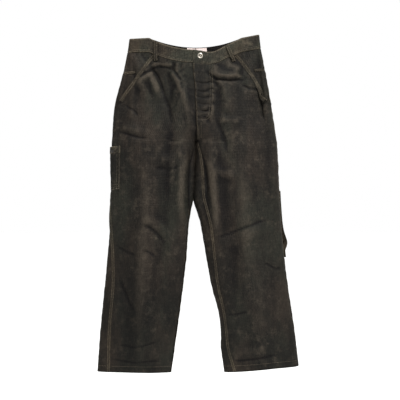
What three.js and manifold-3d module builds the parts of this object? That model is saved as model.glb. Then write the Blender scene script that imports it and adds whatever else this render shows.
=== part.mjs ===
// Canvas work trousers hanging by the waistband: button fly, slant front pockets, back yoke, patch back pockets,
// a tool pocket on the right leg and a hammer loop on the left one. Millimetres, +Z up, wearer's front towards -Y,
// wearer's left towards +X. The origin is the middle of the waist opening, level with the band's top edge where
// a hanger's clips grip it.
//
// Every cloth piece is a slab laid on one garment surface. A place on that surface is a side (-1 right, +1 left),
// a turn t (0 at the centre front or front inseam, 1 at the outseam, 2 at the centre back or back inseam), a drop s
// below the waist's top edge, and an offset outwards from the inner face of the body cloth. All the layers share
// one lattice of turns and drops, so they stay parallel, and pieces with slanted edges are cut out of it.
import * as THREE from "three";
import { mergeVertices } from "three/addons/utils/BufferGeometryUtils.js";
import Module from "manifold-3d";

const wasm = await Module();
wasm.setup();

// Cloth
const CLOTH = 2; // body canvas
const THIN = 1.6; // facings, patches and pocket cloth
const GAP = 0.3; // between panels that meet at a seam
const PLY_GAP = 0.5; // between one layer and the next

// Heights, as drops below the waistband's top edge
const BAND = 42;
const HIP = 205;
const CROTCH = 322;
const FORK = 500;
const LEG_HINGE = CROTCH + 4;
const KNEE = 700;
const HEM = 1035;
const HEM_TURN_UP = 24;

// Half widths above the crotch, and each leg's width below it
const WAIST_HALF = 203;
const HIP_HALF = 240;
const CROTCH_HALF = 254;
const LEG_WIDTH_FORK = 257;
const LEG_WIDTH_KNEE = 237;
const LEG_WIDTH_HEM = 222;
const INNER_GAP = 1.5; // from the centre plane to each inseam at the crotch
const FORK_CENTRE = 134; // from the centre plane to a leg's middle at the fork
const RIGHT_LEAN = 0.105; // how far a leg leans out, per millimetre down
const LEFT_LEAN = 0.142;

// Half depths, front and back
const WAIST_DEPTH = [20, 27];
const HIP_DEPTH = [34, 44];
const CROTCH_DEPTH = [42, 50];
const FORK_DEPTH = [40, 44];
const KNEE_DEPTH = [34, 37];
const HEM_DEPTH = [31, 33];
const ROUNDNESS = 0.85; // 1 is an ellipse, less is boxier

// How the band hangs from two clips
const CLIP_X = 145;
const CLIP_HALF_WIDTH = 16;
const PINCH_DEPTH = 6;
const PINCH_REACH = 170;
const DROOP = [38, 27]; // front and back
const DROOP_REACH = 260;
const CORNER_LIFT = 10;
const HEM_RISE = 0.09; // per millimetre outwards, so that a hem is square to its leaning leg

// How far the legs move, in degrees
const LEG_FORWARD = 30;
const LEG_BACK = 15;
const KNEE_BEND = 40;
const HINGE_GAP = 0.5; // between the edges that meet at a hinge, when turned right over
const WEDGE = 20; // the most that a hinge's edge falls away, kept clear of lattice rows

// Fly and buttons
const FLY_BOTTOM = 232;
const FLY_FACING_WIDTH = 46;
const FLY_SHIELD_UNDERLAP = 24;
const BUTTON_FROM_EDGE = 13;
const BUTTON_RADIUS = 8.5;
const BUTTON_HEIGHT = 4;
const FLY_BUTTON_RADIUS = 7;
const FLY_BUTTON_HEIGHT = 3.3;
const FLY_BUTTON_DROPS = [72, 110, 148, 186];
const POST_RADIUS = 1.6;
const TACK_FLANGE = 4.6;
const TACK_THICKNESS = 1;
const BUTTONHOLE_LENGTH = 17;
const BUTTONHOLE_WIDTH = 4.4;
const BUTTON_TAB_WIDTH = 44;

// Front pockets
const POCKET_START_X = 130;
const POCKET_END = HIP;
const POCKET_UNDERLAP = 28;
const POCKET_ROOM = 8; // how far the pocket's back wall, or a patch pocket's front, stands off the body
const BAG_BOTTOM = 296;
const BAG_INNER_X = 82;
const COIN_TOP = 106;
const COIN_BOTTOM = 168;
const COIN_WIDTH = 62;

// Back yoke and pockets
const YOKE_CENTRE = 66;
const YOKE_SIDE = 34;
const BACK_POCKET_INNER_X = 46;
const BACK_POCKET_OUTER_X = 196;
const BACK_POCKET_TOP = 128;
const BACK_POCKET_BOTTOM = 268;
const BACK_POCKET_POINT = 16;

// Belt loops
const LOOP_WIDTH = 13;
const LOOP_TOP = 1.5;
const LOOP_BOTTOM = 62;
const LOOP_FOOT = 7;
const LOOP_STAND = 8;
const LOOP_FRONT_X = 117;
const LOOP_SIDE_TURN = 1.25;
const LOOP_BACK_X = 72;

// Tool pocket over the right outseam
const TOOL_BAND_TOP = LEG_HINGE + 16;
const TOOL_BAND_HEIGHT = 22;
const TOOL_POCKET_BOTTOM = 462;
const TOOL_FRONT_TURN = 0.8;
const TOOL_BACK_TURN = 1.4;
const TOOL_ROOM = 7;
const RIVET_RADIUS = 4.5;
const RIVET_HEIGHT = 2.2;

// Hammer loop behind the left outseam
const HAMMER_TOP = 470;
const HAMMER_BOTTOM = 680;
const HAMMER_FRONT_TURN = 1.01;
const HAMMER_BACK_TURN = 1.22;
const HAMMER_BOW = 17;
const HAMMER_SAG = 3; // 1 bows evenly, more moves the bow down
const HAMMER_FOOT = 20;

// Label inside the back of the band
const LABEL_WIDTH = 64;
const LABEL_OFF_CENTRE = 9;
const LABEL_TOP = 6;
const LABEL_HEIGHT = 26;

// The lattice that the layers share
const TURN_STEPS = 10; // columns round each face
const ROW_ABOVE = 41;
const ROW_BELOW = 62;

const RIGHT = -1;
const LEFT = 1;
const FRONT = 0;
const BACK = 1;
const SEAM = 0.001; // half of a seam's gap, as a turn
const PAST = 120; // farther than any cutter has to reach
const lerp = THREE.MathUtils.lerp;
const clamp = THREE.MathUtils.clamp;
const smoothstep = THREE.MathUtils.smoothstep;
const radians = THREE.MathUtils.degToRad;
const vector = (x, y, z) => new THREE.Vector3(x, y, z);

// A smooth curve through [drop, value] points.
function profile(...points) {
  const drops = Float32Array.from(points, (p) => p[0]);
  const values = Float32Array.from(points, (p) => p[1]);
  const curve = new THREE.CubicInterpolant(drops, values, 1, new Float32Array(1));
  return (s) => curve.evaluate(clamp(s, drops[0], drops[drops.length - 1]))[0];
}

const outerAbove = profile([0, WAIST_HALF], [BAND, WAIST_HALF + 3], [HIP, HIP_HALF], [CROTCH, CROTCH_HALF]);
const legWidth = profile(
  [CROTCH, CROTCH_HALF - INNER_GAP],
  [FORK, LEG_WIDTH_FORK],
  [KNEE, LEG_WIDTH_KNEE],
  [HEM, LEG_WIDTH_HEM],
);
const legMiddle = (lean) =>
  profile(
    [CROTCH, (CROTCH_HALF + INNER_GAP) / 2],
    [FORK, FORK_CENTRE],
    [KNEE, FORK_CENTRE + lean * (KNEE - FORK)],
    [HEM, FORK_CENTRE + lean * (HEM - FORK)],
  );
const legMiddles = { [RIGHT]: legMiddle(RIGHT_LEAN), [LEFT]: legMiddle(LEFT_LEAN) };
const depths = [FRONT, BACK].map((face) =>
  profile(
    [0, WAIST_DEPTH[face]],
    [HIP, HIP_DEPTH[face]],
    [CROTCH, CROTCH_DEPTH[face]],
    [FORK, FORK_DEPTH[face]],
    [KNEE, KNEE_DEPTH[face]],
    [HEM, HEM_DEPTH[face]],
  ),
);

// The lobe that one half of the garment follows at a drop: its middle and half width, from the centre plane.
// Above the crotch the lobe runs past the centre plane and is cut off there.
function lobe(side, s) {
  if (s >= CROTCH) return { middle: legMiddles[side](s), half: legWidth(s) / 2 };
  const outer = outerAbove(s);
  const inner = INNER_GAP - (outer + INNER_GAP) * (1 - (s / CROTCH) ** 4);
  return { middle: (outer + inner) / 2, half: (outer - inner) / 2 };
}

// The angle round the lobe, from its inner end, at which the half starts.
const startAngle = ({ middle, half }) => (half > middle ? Math.acos(middle / half) : 0);

// The turn, 0 to 1, at a distance from the centre plane.
function turnAt(side, x, s) {
  const at = lobe(side, s);
  const start = startAngle(at);
  const angle = Math.acos(clamp((at.middle - x) / at.half, -1, 1));
  return clamp((angle - start) / (Math.PI - start), 0, 1);
}

// Half depth of the band between the clips, at them and out to its end.
function pinchedDepth(x, end, deep) {
  const flat = CLIP_X - CLIP_HALF_WIDTH;
  if (x < flat) return lerp(deep, PINCH_DEPTH, (x / flat) ** 2);
  const toEnd = clamp(end - x, 0, PINCH_DEPTH);
  return Math.sqrt(PINCH_DEPTH ** 2 - (PINCH_DEPTH - toEnd) ** 2);
}

// How far the cloth sags below, or rises above, the line between the clips.
function sag(x, face) {
  if (x < CLIP_X) return -DROOP[face] * (1 - (x / CLIP_X) ** 2);
  return (CORNER_LIFT * (x - CLIP_X)) / (WAIST_HALF - CLIP_X);
}

// The inner face of the body cloth.
function inside(side, t, s) {
  const at = lobe(side, s);
  const face = t < 1 ? FRONT : BACK;
  const start = startAngle(at);
  const angle = start + (Math.PI - start) * (face ? 2 - t : t);
  const x = at.middle - at.half * Math.cos(angle);
  const deep = depths[face](s);
  const pinch = 1 - smoothstep(s, BAND, PINCH_REACH);
  const y = lerp(deep * Math.abs(Math.sin(angle)) ** ROUNDNESS, pinchedDepth(x, at.middle + at.half, deep), pinch);
  const slack = 1 - smoothstep(s, 0, DROOP_REACH);
  const leaning = (HEM_RISE * (x - at.middle) * Math.max(0, s - FORK)) / (HEM - FORK);
  return vector(side * x, face ? y : -y, -s + sag(x, face) * slack + leaning);
}

// The same place moved out by an offset, square to the cloth.
function offsetPoint(side, t, s, offset) {
  const reach = 0.01;
  const across = inside(side, Math.min(2, t + reach), s).sub(inside(side, Math.max(0, t - reach), s));
  const down = inside(side, t, s + 1).sub(inside(side, t, s - 1));
  const out = across.cross(down).normalize().multiplyScalar(-side);
  return inside(side, t, s).addScaledVector(out, offset);
}

const latticeTurns = Array.from({ length: 2 * TURN_STEPS + 1 }, (_, i) => i / TURN_STEPS);
const latticeDrops = [0];
for (let s = BAND; s < HEM - ROW_BELOW / 2; s += s < CROTCH ? ROW_ABOVE : ROW_BELOW) latticeDrops.push(s);
latticeDrops.push(HEM);

// The lattice lines on each side of a value, and how far it lies between them.
function between(lines, value) {
  const next = clamp(lines.filter((line) => line <= value).length, 1, lines.length - 1);
  const [low, high] = [lines[next - 1], lines[next]];
  return { low, high, share: (value - low) / (high - low) };
}

// A place on the lattice's flat cells. Each half keeps to its own side of the centre plane unless it may cross.
function place(side, t, s, offset, crosses = false) {
  const column = between(latticeTurns, t);
  const row = between(latticeDrops, s);
  const edge = (drop) =>
    offsetPoint(side, column.low, drop, offset).lerp(offsetPoint(side, column.high, drop, offset), column.share);
  const at = edge(row.low).lerp(edge(row.high), row.share);
  if (crosses) at.x = t === 0 || t === 2 ? 0 : at.x;
  else at.x = side * Math.max(side * at.x, GAP / 2);
  return at;
}

// The given ends with the lattice lines between them, and each stretch between two lines divided again.
const linesBetween = (lines, from, to) => [from, ...lines.filter((line) => line > from + SEAM && line < to - SEAM), to];
const divided = (lines, parts) =>
  lines.flatMap((line, i) =>
    i ? Array.from({ length: parts }, (_, k) => lerp(lines[i - 1], line, (k + 1) / parts)) : [line],
  );

// A closed slab over columns and rows, whose corners are carried by at(column, row, w), with w 0 inside and 1 out.
function slab(columns, rows, at) {
  const [wide, tall] = [columns.length, rows.length];
  const corners = [0, 1].flatMap((w) => rows.flatMap((row) => columns.flatMap((column) => at(column, row, w).toArray())));
  const faces = [];
  const quad = (a, b, c, d) => faces.push(a, b, c, a, c, d);
  const sheet = wide * tall;
  for (let i = 0; i + 1 < tall; i++) {
    for (let j = 0; j + 1 < wide; j++) {
      const a = i * wide + j;
      quad(a, a + wide, a + wide + 1, a + 1);
      quad(sheet + a, sheet + a + 1, sheet + a + wide + 1, sheet + a + wide);
    }
  }
  const rim = (a, b) => quad(a, b, sheet + b, sheet + a);
  for (let j = 0; j + 1 < wide; j++) {
    rim(j, j + 1);
    rim(sheet - wide + j + 1, sheet - wide + j);
  }
  for (let i = 0; i + 1 < tall; i++) {
    rim((i + 1) * wide, i * wide);
    rim((i + 1) * wide - 1, (i + 2) * wide - 1);
  }
  const geometry = new THREE.BufferGeometry();
  geometry.setAttribute("position", new THREE.Float32BufferAttribute(corners, 3));
  geometry.setIndex(faces);
  return outwards(geometry);
}

// The same solid with its faces pointing out.
function outwards(solid) {
  const corners = solid.getAttribute("position");
  const index = solid.index.array;
  const [a, b, c] = [vector(), vector(), vector()];
  let volume = 0;
  for (let i = 0; i < index.length; i += 3) {
    [a, b, c].forEach((corner, k) => corner.fromBufferAttribute(corners, index[i + k]));
    volume += a.dot(b.cross(c));
  }
  if (volume > 0) return solid;
  for (let i = 0; i < index.length; i += 3) [index[i], index[i + 1]] = [index[i + 1], index[i]];
  return solid;
}

const asFunction = (given) => (typeof given === "function" ? given : () => given);

// A layer of one half between two turns and two drops. Its offsets may vary with the turn and the drop.
function layer({ side, turns, drops, inner = 0, outer = inner + CLOTH, hinge = {}, parts = 1 }) {
  const [low, high] = [inner, outer].map(asFunction);
  const [top, bottom] = drops;
  const clear = (s) => !(hinge.top && s > top && s < top + WEDGE) && !(hinge.bottom && s < bottom && s > bottom - WEDGE);
  const rows = divided(linesBetween(latticeDrops, top, bottom).filter(clear), parts);
  return slab(linesBetween(latticeTurns, ...turns), rows, (t, s, w) => {
    const offset = lerp(low(t, s), high(t, s), w);
    if (s === top && hinge.top) return place(side, t, hingeEdge(side, t, offset, hinge.top, 1), offset);
    if (s === bottom && hinge.bottom) return place(side, t, hingeEdge(side, t, offset, hinge.bottom, -1), offset);
    return place(side, t, s, offset);
  });
}

// The drop of a cloth edge at a hinge across the leg. It falls away from the axis, so that the two sides stay clear
// of each other as they turn. way is 1 below the hinge and -1 above it.
function hingeEdge(side, t, offset, hinge, way) {
  let drop = hinge.drop;
  for (let pass = 0; pass < 6; pass++) {
    const { y, z } = place(side, t, drop, offset);
    const angle = radians(y < 0 ? hinge.forward : hinge.back);
    drop += z + hinge.drop + way * (Math.abs(y) * Math.tan(angle / 2) + HINGE_GAP / 2);
  }
  return drop;
}

const LEG = { drop: LEG_HINGE, forward: LEG_FORWARD, back: LEG_BACK };
const BEND = { drop: KNEE, forward: 0, back: KNEE_BEND };

// A layer across the centre plane, out to a turn on each side of it.
function centreLayer({ face, drops, inner, outer, reach, parts = 1 }) {
  const [low, high] = [inner, outer].map(asFunction);
  const turns = linesBetween(latticeTurns, 0, reach);
  const columns = [...turns.slice(1).reverse().map((t) => [RIGHT, t]), ...turns.map((t) => [LEFT, t])];
  return slab(columns, divided(linesBetween(latticeDrops, ...drops), parts), ([side, t], s, w) =>
    place(side, face ? 2 - t : t, s, lerp(low(t, s), high(t, s), w), true),
  );
}

function toManifold(geometry) {
  const merged = mergeVertices(geometry.clone().deleteAttribute("normal").deleteAttribute("uv"), 1e-3);
  const mesh = new wasm.Mesh({
    numProp: 3,
    vertProperties: merged.attributes.position.array,
    triVerts: new Uint32Array(merged.index.array),
  });
  return new wasm.Manifold(mesh);
}

function toGeometry(solid) {
  const { vertProperties, triVerts } = solid.getMesh();
  const geometry = new THREE.BufferGeometry();
  geometry.setAttribute("position", new THREE.BufferAttribute(vertProperties, 3));
  return geometry.setIndex(new THREE.BufferAttribute(triVerts, 1));
}

const punch = (geometry, ...holes) =>
  toGeometry(holes.reduce((solid, hole) => solid.subtract(toManifold(hole)), toManifold(geometry)));
const within = (geometry, outline) => toGeometry(toManifold(geometry).intersect(toManifold(outline)));
const joined = (...pieces) => toGeometry(pieces.map(toManifold).reduce((a, b) => a.add(b)));

// A prism through the front or the back, whose outline runs through [distance from the centre plane, drop] points.
function outline(side, face, points) {
  const corners = points.map(([x, s]) => {
    const t = turnAt(side, x, clamp(s, 0, HEM));
    const z = place(side, face ? 2 - t : t, clamp(s, 0, HEM), 0).z + clamp(s, 0, HEM) - s;
    return new THREE.Vector2(side * x, z);
  });
  const prism = new THREE.ExtrudeGeometry(new THREE.Shape(corners), { depth: PAST, bevelEnabled: false });
  return prism.rotateX(Math.PI / 2).translate(0, face ? PAST : 0, 0);
}

// Where something is set on the cloth: the place, and the frame whose +Y points out of the cloth and +X along it.
function seat(side, t, s, offset) {
  const at = place(side, t, s, offset);
  const out = place(side, t, s, offset + 1).sub(at).normalize();
  const along = vector(1, 0, 0).addScaledVector(out, -out.x).normalize();
  return new THREE.Matrix4().makeBasis(along, out, along.clone().cross(out)).setPosition(at);
}

// A turned piece on a seat, through [radius, height] points.
function turned(points, seated, segments = 20) {
  const outlinePoints = [...points, points[0]].map(([r, out]) => new THREE.Vector2(r, out));
  const lathe = new THREE.LatheGeometry(outlinePoints, segments).deleteAttribute("normal").deleteAttribute("uv");
  return outwards(mergeVertices(lathe, 1e-3)).applyMatrix4(seated);
}

// A buttonhole's cutter, along the cloth's width.
function slotCutter(seated) {
  const end = BUTTONHOLE_WIDTH / 2;
  const half = BUTTONHOLE_LENGTH / 2 - end;
  const shape = new THREE.Shape();
  shape.absarc(half, 0, end, -Math.PI / 2, Math.PI / 2);
  shape.absarc(-half, 0, end, Math.PI / 2, Math.PI * 1.5);
  const slot = new THREE.ExtrudeGeometry(shape, { depth: PAST / 4, bevelEnabled: false, curveSegments: 5 });
  return slot.translate(0, 0, -PAST / 8).rotateX(-Math.PI / 2).applyMatrix4(seated);
}
const holeCutter = (seated, radius) => new THREE.CylinderGeometry(radius, radius, PAST / 4, 14).applyMatrix4(seated);

const canvas = new THREE.MeshStandardMaterial({ color: 0x3a362f, roughness: 0.82, metalness: 0 });
const pocketing = new THREE.MeshStandardMaterial({ color: 0x4a453c, roughness: 0.9, metalness: 0 });
const nickel = new THREE.MeshStandardMaterial({ color: 0xa9a59c, roughness: 0.35, metalness: 1 });
const blackMetal = new THREE.MeshStandardMaterial({ color: 0x2b2926, roughness: 0.5, metalness: 1 });
const woven = new THREE.MeshStandardMaterial({ color: 0xb7a79c, roughness: 0.8, metalness: 0 });

const trousers = new THREE.Group();
function add(name, geometry, material = canvas) {
  const mesh = new THREE.Mesh(geometry, material);
  mesh.name = name;
  trousers.add(mesh);
}

const sideName = { [RIGHT]: "right", [LEFT]: "left" };
const frontTurns = [0, 1 - SEAM];
const backTurns = [1 + SEAM, 2];
const outside = CLOTH + PLY_GAP;
const firstPly = [-PLY_GAP - THIN, -PLY_GAP]; // the layer behind the body cloth
const secondPly = firstPly.map((offset) => offset - THIN - PLY_GAP);

// The slanted pocket edge, and the recess of the pocket's back wall behind the front
const hipX = HIP_HALF + CLOTH;
const pocketEdge = (s) => lerp(POCKET_START_X, hipX, (s - BAND) / (POCKET_END - BAND));
const recess = (t, s) => {
  const down = smoothstep(s, BAND, BAND + ROW_ABOVE) * (1 - smoothstep(s, BAG_BOTTOM - 60, BAG_BOTTOM - 14));
  return POCKET_ROOM * down * (t > 0.35 && t < 0.95 ? 1 : 0);
};
const yokeDrop = (x) => BAND + lerp(YOKE_CENTRE, YOKE_SIDE, x / WAIST_HALF);

for (const side of [RIGHT, LEFT]) {
  const name = sideName[side];
  const yokeSeam = (gap) => [
    [-GAP, yokeDrop(0) + gap],
    [WAIST_HALF / 2, yokeDrop(WAIST_HALF / 2) + gap],
    [WAIST_HALF, yokeDrop(WAIST_HALF) + gap],
    [hipX + PAST, yokeDrop(WAIST_HALF) + gap],
  ];

  // Body panels
  const front = layer({ side, turns: frontTurns, drops: [BAND + GAP, LEG_HINGE], hinge: { bottom: LEG } });
  const mouth = outline(side, FRONT, [
    [pocketEdge(0), 0],
    [pocketEdge(BAND), BAND],
    [hipX, POCKET_END],
    [hipX + PAST, POCKET_END],
    [hipX + PAST, 0],
  ]);
  add(`${name}_front_rise`, punch(front, mouth));
  const back = { side, turns: backTurns, hinge: { bottom: LEG } };
  const below = [[hipX + PAST, HEM], [-GAP, HEM]];
  const above = [[hipX + PAST, -PAST], [-GAP, -PAST]];
  add(
    `${name}_back_yoke`,
    within(layer({ ...back, drops: [BAND + GAP, LEG_HINGE] }), outline(side, BACK, [...yokeSeam(-GAP / 2), ...above])),
  );
  add(
    `${name}_back_rise`,
    within(layer({ ...back, drops: [BAND + GAP, LEG_HINGE] }), outline(side, BACK, [...yokeSeam(GAP / 2), ...below])),
  );
  for (const [face, turns] of Object.entries({ front: [SEAM, 1 - SEAM], back: [1 + SEAM, 2 - SEAM] })) {
    add(`${name}_${face}_thigh`, layer({ side, turns, drops: [LEG_HINGE, KNEE], hinge: { top: LEG, bottom: BEND } }));
    add(`${name}_${face}_shin`, layer({ side, turns, drops: [KNEE, HEM], hinge: { top: BEND } }));
  }
  const [inner, outer] = firstPly;
  add(`${name}_hem_turn_up`, layer({ side, turns: [SEAM, 2 - SEAM], drops: [HEM - HEM_TURN_UP, HEM - 1], inner, outer }));

  // Front pocket: the facing behind the slanted edge, and the bag's back wall behind it
  const facing = layer({
    side,
    turns: [0.3, 1 - SEAM],
    drops: [BAND + GAP, BAG_BOTTOM],
    inner: (t, s) => firstPly[0] - recess(t, s),
    outer: (t, s) => firstPly[1] - recess(t, s),
  });
  const facingOutline = outline(side, FRONT, [
    [pocketEdge(BAND) - POCKET_UNDERLAP, 0],
    [pocketEdge(BAND) - POCKET_UNDERLAP, BAND],
    [hipX - POCKET_UNDERLAP, POCKET_END],
    [hipX - POCKET_UNDERLAP, POCKET_END + POCKET_UNDERLAP],
    [hipX + PAST, POCKET_END + POCKET_UNDERLAP],
    [hipX + PAST, 0],
  ]);
  add(`${name}_pocket_facing`, within(facing, facingOutline));
  const bag = layer({
    side,
    turns: [0.2, 1 - 1 / TURN_STEPS],
    drops: [BAND + GAP, BAG_BOTTOM],
    inner: (t, s) => secondPly[0] - recess(t, s),
    outer: (t, s) => secondPly[1] - recess(t, s),
  });
  const bagOutline = outline(side, FRONT, [[BAG_INNER_X, 0], [BAG_INNER_X, HEM], [hipX + PAST, HEM], [hipX + PAST, 0]]);
  add(`${name}_pocket_bag`, within(bag, bagOutline), pocketing);

  // Patch pocket on the seat, with a pointed bottom
  const bulge = (t, s) => {
    const bottom = BACK_POCKET_BOTTOM - BACK_POCKET_POINT;
    return POCKET_ROOM * (1 - smoothstep(s, BACK_POCKET_TOP, bottom)) * (t > 1.45 && t < 1.75 ? 1 : 0);
  };
  const patch = layer({
    side,
    turns: backTurns,
    drops: [BACK_POCKET_TOP, BACK_POCKET_BOTTOM],
    inner: (t, s) => outside + bulge(t, s),
    outer: (t, s) => outside + THIN + bulge(t, s),
  });
  const patchOutline = outline(side, BACK, [
    [BACK_POCKET_INNER_X, 0],
    [BACK_POCKET_OUTER_X, 0],
    [BACK_POCKET_OUTER_X, BACK_POCKET_BOTTOM - BACK_POCKET_POINT],
    [(BACK_POCKET_INNER_X + BACK_POCKET_OUTER_X) / 2, BACK_POCKET_BOTTOM],
    [BACK_POCKET_INNER_X, BACK_POCKET_BOTTOM - BACK_POCKET_POINT],
  ]);
  add(`${name}_back_pocket`, within(patch, patchOutline));
}

// Waistband, with its left end over the right one, and the button tab behind both
const waistSeat = seat(LEFT, turnAt(LEFT, BUTTON_FROM_EDGE, BAND / 2), BAND / 2, 0);
for (const side of [RIGHT, LEFT]) {
  const holes = side === LEFT ? [slotCutter(waistSeat)] : [];
  const turns = [0, 2];
  const [inner, outer] = firstPly;
  add(`${sideName[side]}_waistband`, punch(layer({ side, turns, drops: [0, BAND] }), ...holes));
  add(
    `${sideName[side]}_waistband_facing`,
    punch(layer({ side, turns, drops: [1, BAND - 1], inner, outer }), ...holes),
  );
}
const across = (face, left, right) =>
  joined(
    outline(RIGHT, face, [[-GAP, -PAST], [left, -PAST], [left, HEM], [-GAP, HEM]]),
    outline(LEFT, face, [[-GAP, -PAST], [right, -PAST], [right, HEM], [-GAP, HEM]]),
  );
const [tabInner, tabOuter] = secondPly;
add(
  "button_tab",
  punch(
    within(
      centreLayer({ face: FRONT, drops: [2, BAND - 2], inner: tabInner, outer: tabOuter, reach: 0.4 }),
      across(FRONT, FLY_SHIELD_UNDERLAP, BUTTON_TAB_WIDTH),
    ),
    holeCutter(waistSeat, POST_RADIUS + GAP),
  ),
);

// Fly: buttonhole facing under the left edge, shield behind it, and the caps between the front and the facing
const capInner = -PLY_GAP - FLY_BUTTON_HEIGHT;
const flyFacing = [capInner - PLY_GAP - THIN, capInner - PLY_GAP];
const flyShield = flyFacing.map((offset) => offset - THIN - PLY_GAP);
const flySeats = FLY_BUTTON_DROPS.map((s) => seat(LEFT, turnAt(LEFT, BUTTON_FROM_EDGE, s), s, 0));
const flyTurn = 0.4;
add(
  "fly_facing",
  punch(
    within(
      layer({
        side: LEFT,
        turns: [0, flyTurn],
        drops: [BAND + 3, FLY_BOTTOM - 18],
        inner: flyFacing[0],
        outer: flyFacing[1],
      }),
      outline(LEFT, FRONT, [[2, -PAST], [FLY_FACING_WIDTH, -PAST], [FLY_FACING_WIDTH, HEM], [2, HEM]]),
    ),
    ...flySeats.map(slotCutter),
  ),
);
add(
  "fly_shield",
  punch(
    within(
      centreLayer({
        face: FRONT,
        drops: [BAND + 3, FLY_BOTTOM - 8],
        inner: flyShield[0],
        outer: flyShield[1],
        reach: flyTurn,
      }),
      across(FRONT, FLY_SHIELD_UNDERLAP, FLY_FACING_WIDTH - 4),
    ),
    ...flySeats.map((seated) => holeCutter(seated, POST_RADIUS + GAP)),
  ),
);

// A tack button: a ring-shaped cap that turns on the post of a tack driven from behind.
const bore = POST_RADIUS + GAP;
const cap = (radius, height, from) =>
  [
    [bore, 0],
    [radius * 0.72, 0],
    [radius * 0.97, height * 0.35],
    [radius, height * 0.55],
    [radius * 0.93, height * 0.85],
    [radius * 0.76, height],
    [radius * 0.5, height * 0.9],
    [bore, height * 0.6],
  ].map(([r, out]) => [r, from + out]);
const tack = (back, tip) => [
  [0, back - TACK_THICKNESS],
  [TACK_FLANGE, back - TACK_THICKNESS],
  [TACK_FLANGE, back],
  [POST_RADIUS, back],
  [POST_RADIUS, tip],
  [0, tip],
];
const waistCapBase = outside;
add("waist_button_cap", turned(cap(BUTTON_RADIUS, BUTTON_HEIGHT, waistCapBase), waistSeat, 24), nickel);
add("waist_button_tack", turned(tack(tabInner - PLY_GAP, waistCapBase + BUTTON_HEIGHT * 0.62), waistSeat, 14), nickel);
flySeats.forEach((seated, i) => {
  add(`fly_button_cap_${i + 1}`, turned(cap(FLY_BUTTON_RADIUS, FLY_BUTTON_HEIGHT, capInner), seated, 18), nickel);
  const tip = capInner + FLY_BUTTON_HEIGHT * 0.62;
  add(`fly_button_tack_${i + 1}`, turned(tack(flyShield[0] - PLY_GAP, tip), seated, 14), nickel);
});

// Watch pocket on the right facing
const coinInner = (t, s) => firstPly[1] + PLY_GAP - recess(t, s);
const coin = layer({
  side: RIGHT,
  turns: [0.3, 1 - SEAM],
  drops: [COIN_TOP, COIN_BOTTOM],
  inner: coinInner,
  outer: (t, s) => coinInner(t, s) + THIN,
});
const coinEdge = (s) => pocketEdge(s) + 2;
const coinOutline = outline(RIGHT, FRONT, [
  [coinEdge(COIN_TOP), COIN_TOP - 1],
  [coinEdge(COIN_BOTTOM), COIN_BOTTOM + 1],
  [coinEdge(COIN_BOTTOM) + COIN_WIDTH, COIN_BOTTOM + 1],
  [coinEdge(COIN_BOTTOM) + COIN_WIDTH, COIN_TOP - 1],
]);
add("coin_pocket", within(coin, coinOutline));

// Belt loops: a strip sewn flat at both ends and standing off the band between them
const loopStand = (t, s) => {
  const fromEnd = Math.min(s - LOOP_TOP, LOOP_BOTTOM - s);
  return outside + LOOP_STAND * smoothstep(fromEnd, LOOP_FOOT, LOOP_FOOT * 2.4);
};
const loop = {
  drops: [LOOP_TOP, LOOP_BOTTOM],
  inner: loopStand,
  outer: (t, s) => loopStand(t, s) + THIN,
  parts: 9,
};
function loopReach(side, turn) {
  const step = 0.5 / TURN_STEPS;
  const span = inside(side, turn - step, BAND).distanceTo(inside(side, turn, BAND));
  return (step * LOOP_WIDTH) / 2 / span;
}
const beltLoop = (side, turn) =>
  layer({ ...loop, side, turns: [turn - loopReach(side, turn), turn + loopReach(side, turn)] });
for (const side of [RIGHT, LEFT]) {
  const name = sideName[side];
  add(`${name}_front_belt_loop`, beltLoop(side, turnAt(side, LOOP_FRONT_X, BAND / 2)));
  add(`${name}_side_belt_loop`, beltLoop(side, LOOP_SIDE_TURN));
  add(`${name}_back_belt_loop`, beltLoop(side, 2 - turnAt(side, LOOP_BACK_X, BAND / 2)));
}
add("centre_back_belt_loop", centreLayer({ ...loop, face: BACK, reach: loopReach(LEFT, 2) }));

// Tool pocket over the right outseam, its top band and the rivet through the band
const toolTurns = [TOOL_FRONT_TURN, TOOL_BACK_TURN];
const toolBandBottom = TOOL_BAND_TOP + TOOL_BAND_HEIGHT;
const toolBulge = (t, s) => {
  const down = 1 - smoothstep(s, toolBandBottom + 40, TOOL_POCKET_BOTTOM);
  return TOOL_ROOM * down * (t > TOOL_FRONT_TURN + 0.05 && t < TOOL_BACK_TURN - 0.05 ? 1 : 0);
};
const toolLayer = (top, bottom) =>
  layer({
    side: RIGHT,
    turns: toolTurns,
    drops: [top, bottom],
    inner: (t, s) => outside + toolBulge(t, s),
    outer: (t, s) => outside + THIN + toolBulge(t, s),
  });
add("tool_pocket_band", toolLayer(TOOL_BAND_TOP, toolBandBottom));
add("tool_pocket", toolLayer(toolBandBottom + GAP, TOOL_POCKET_BOTTOM));
const rivet = [
  [0, 0],
  [RIVET_RADIUS, 0],
  [RIVET_RADIUS * 0.94, RIVET_HEIGHT * 0.45],
  [RIVET_RADIUS * 0.6, RIVET_HEIGHT * 0.88],
  [0, RIVET_HEIGHT],
];
const rivetTurn = (TOOL_FRONT_TURN + 1) / 2;
const rivetSeat = seat(RIGHT, rivetTurn, TOOL_BAND_TOP + TOOL_BAND_HEIGHT / 2, outside + THIN + TOOL_ROOM + PLY_GAP);
add("tool_pocket_rivet", turned(rivet, rivetSeat, 16), blackMetal);

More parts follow.
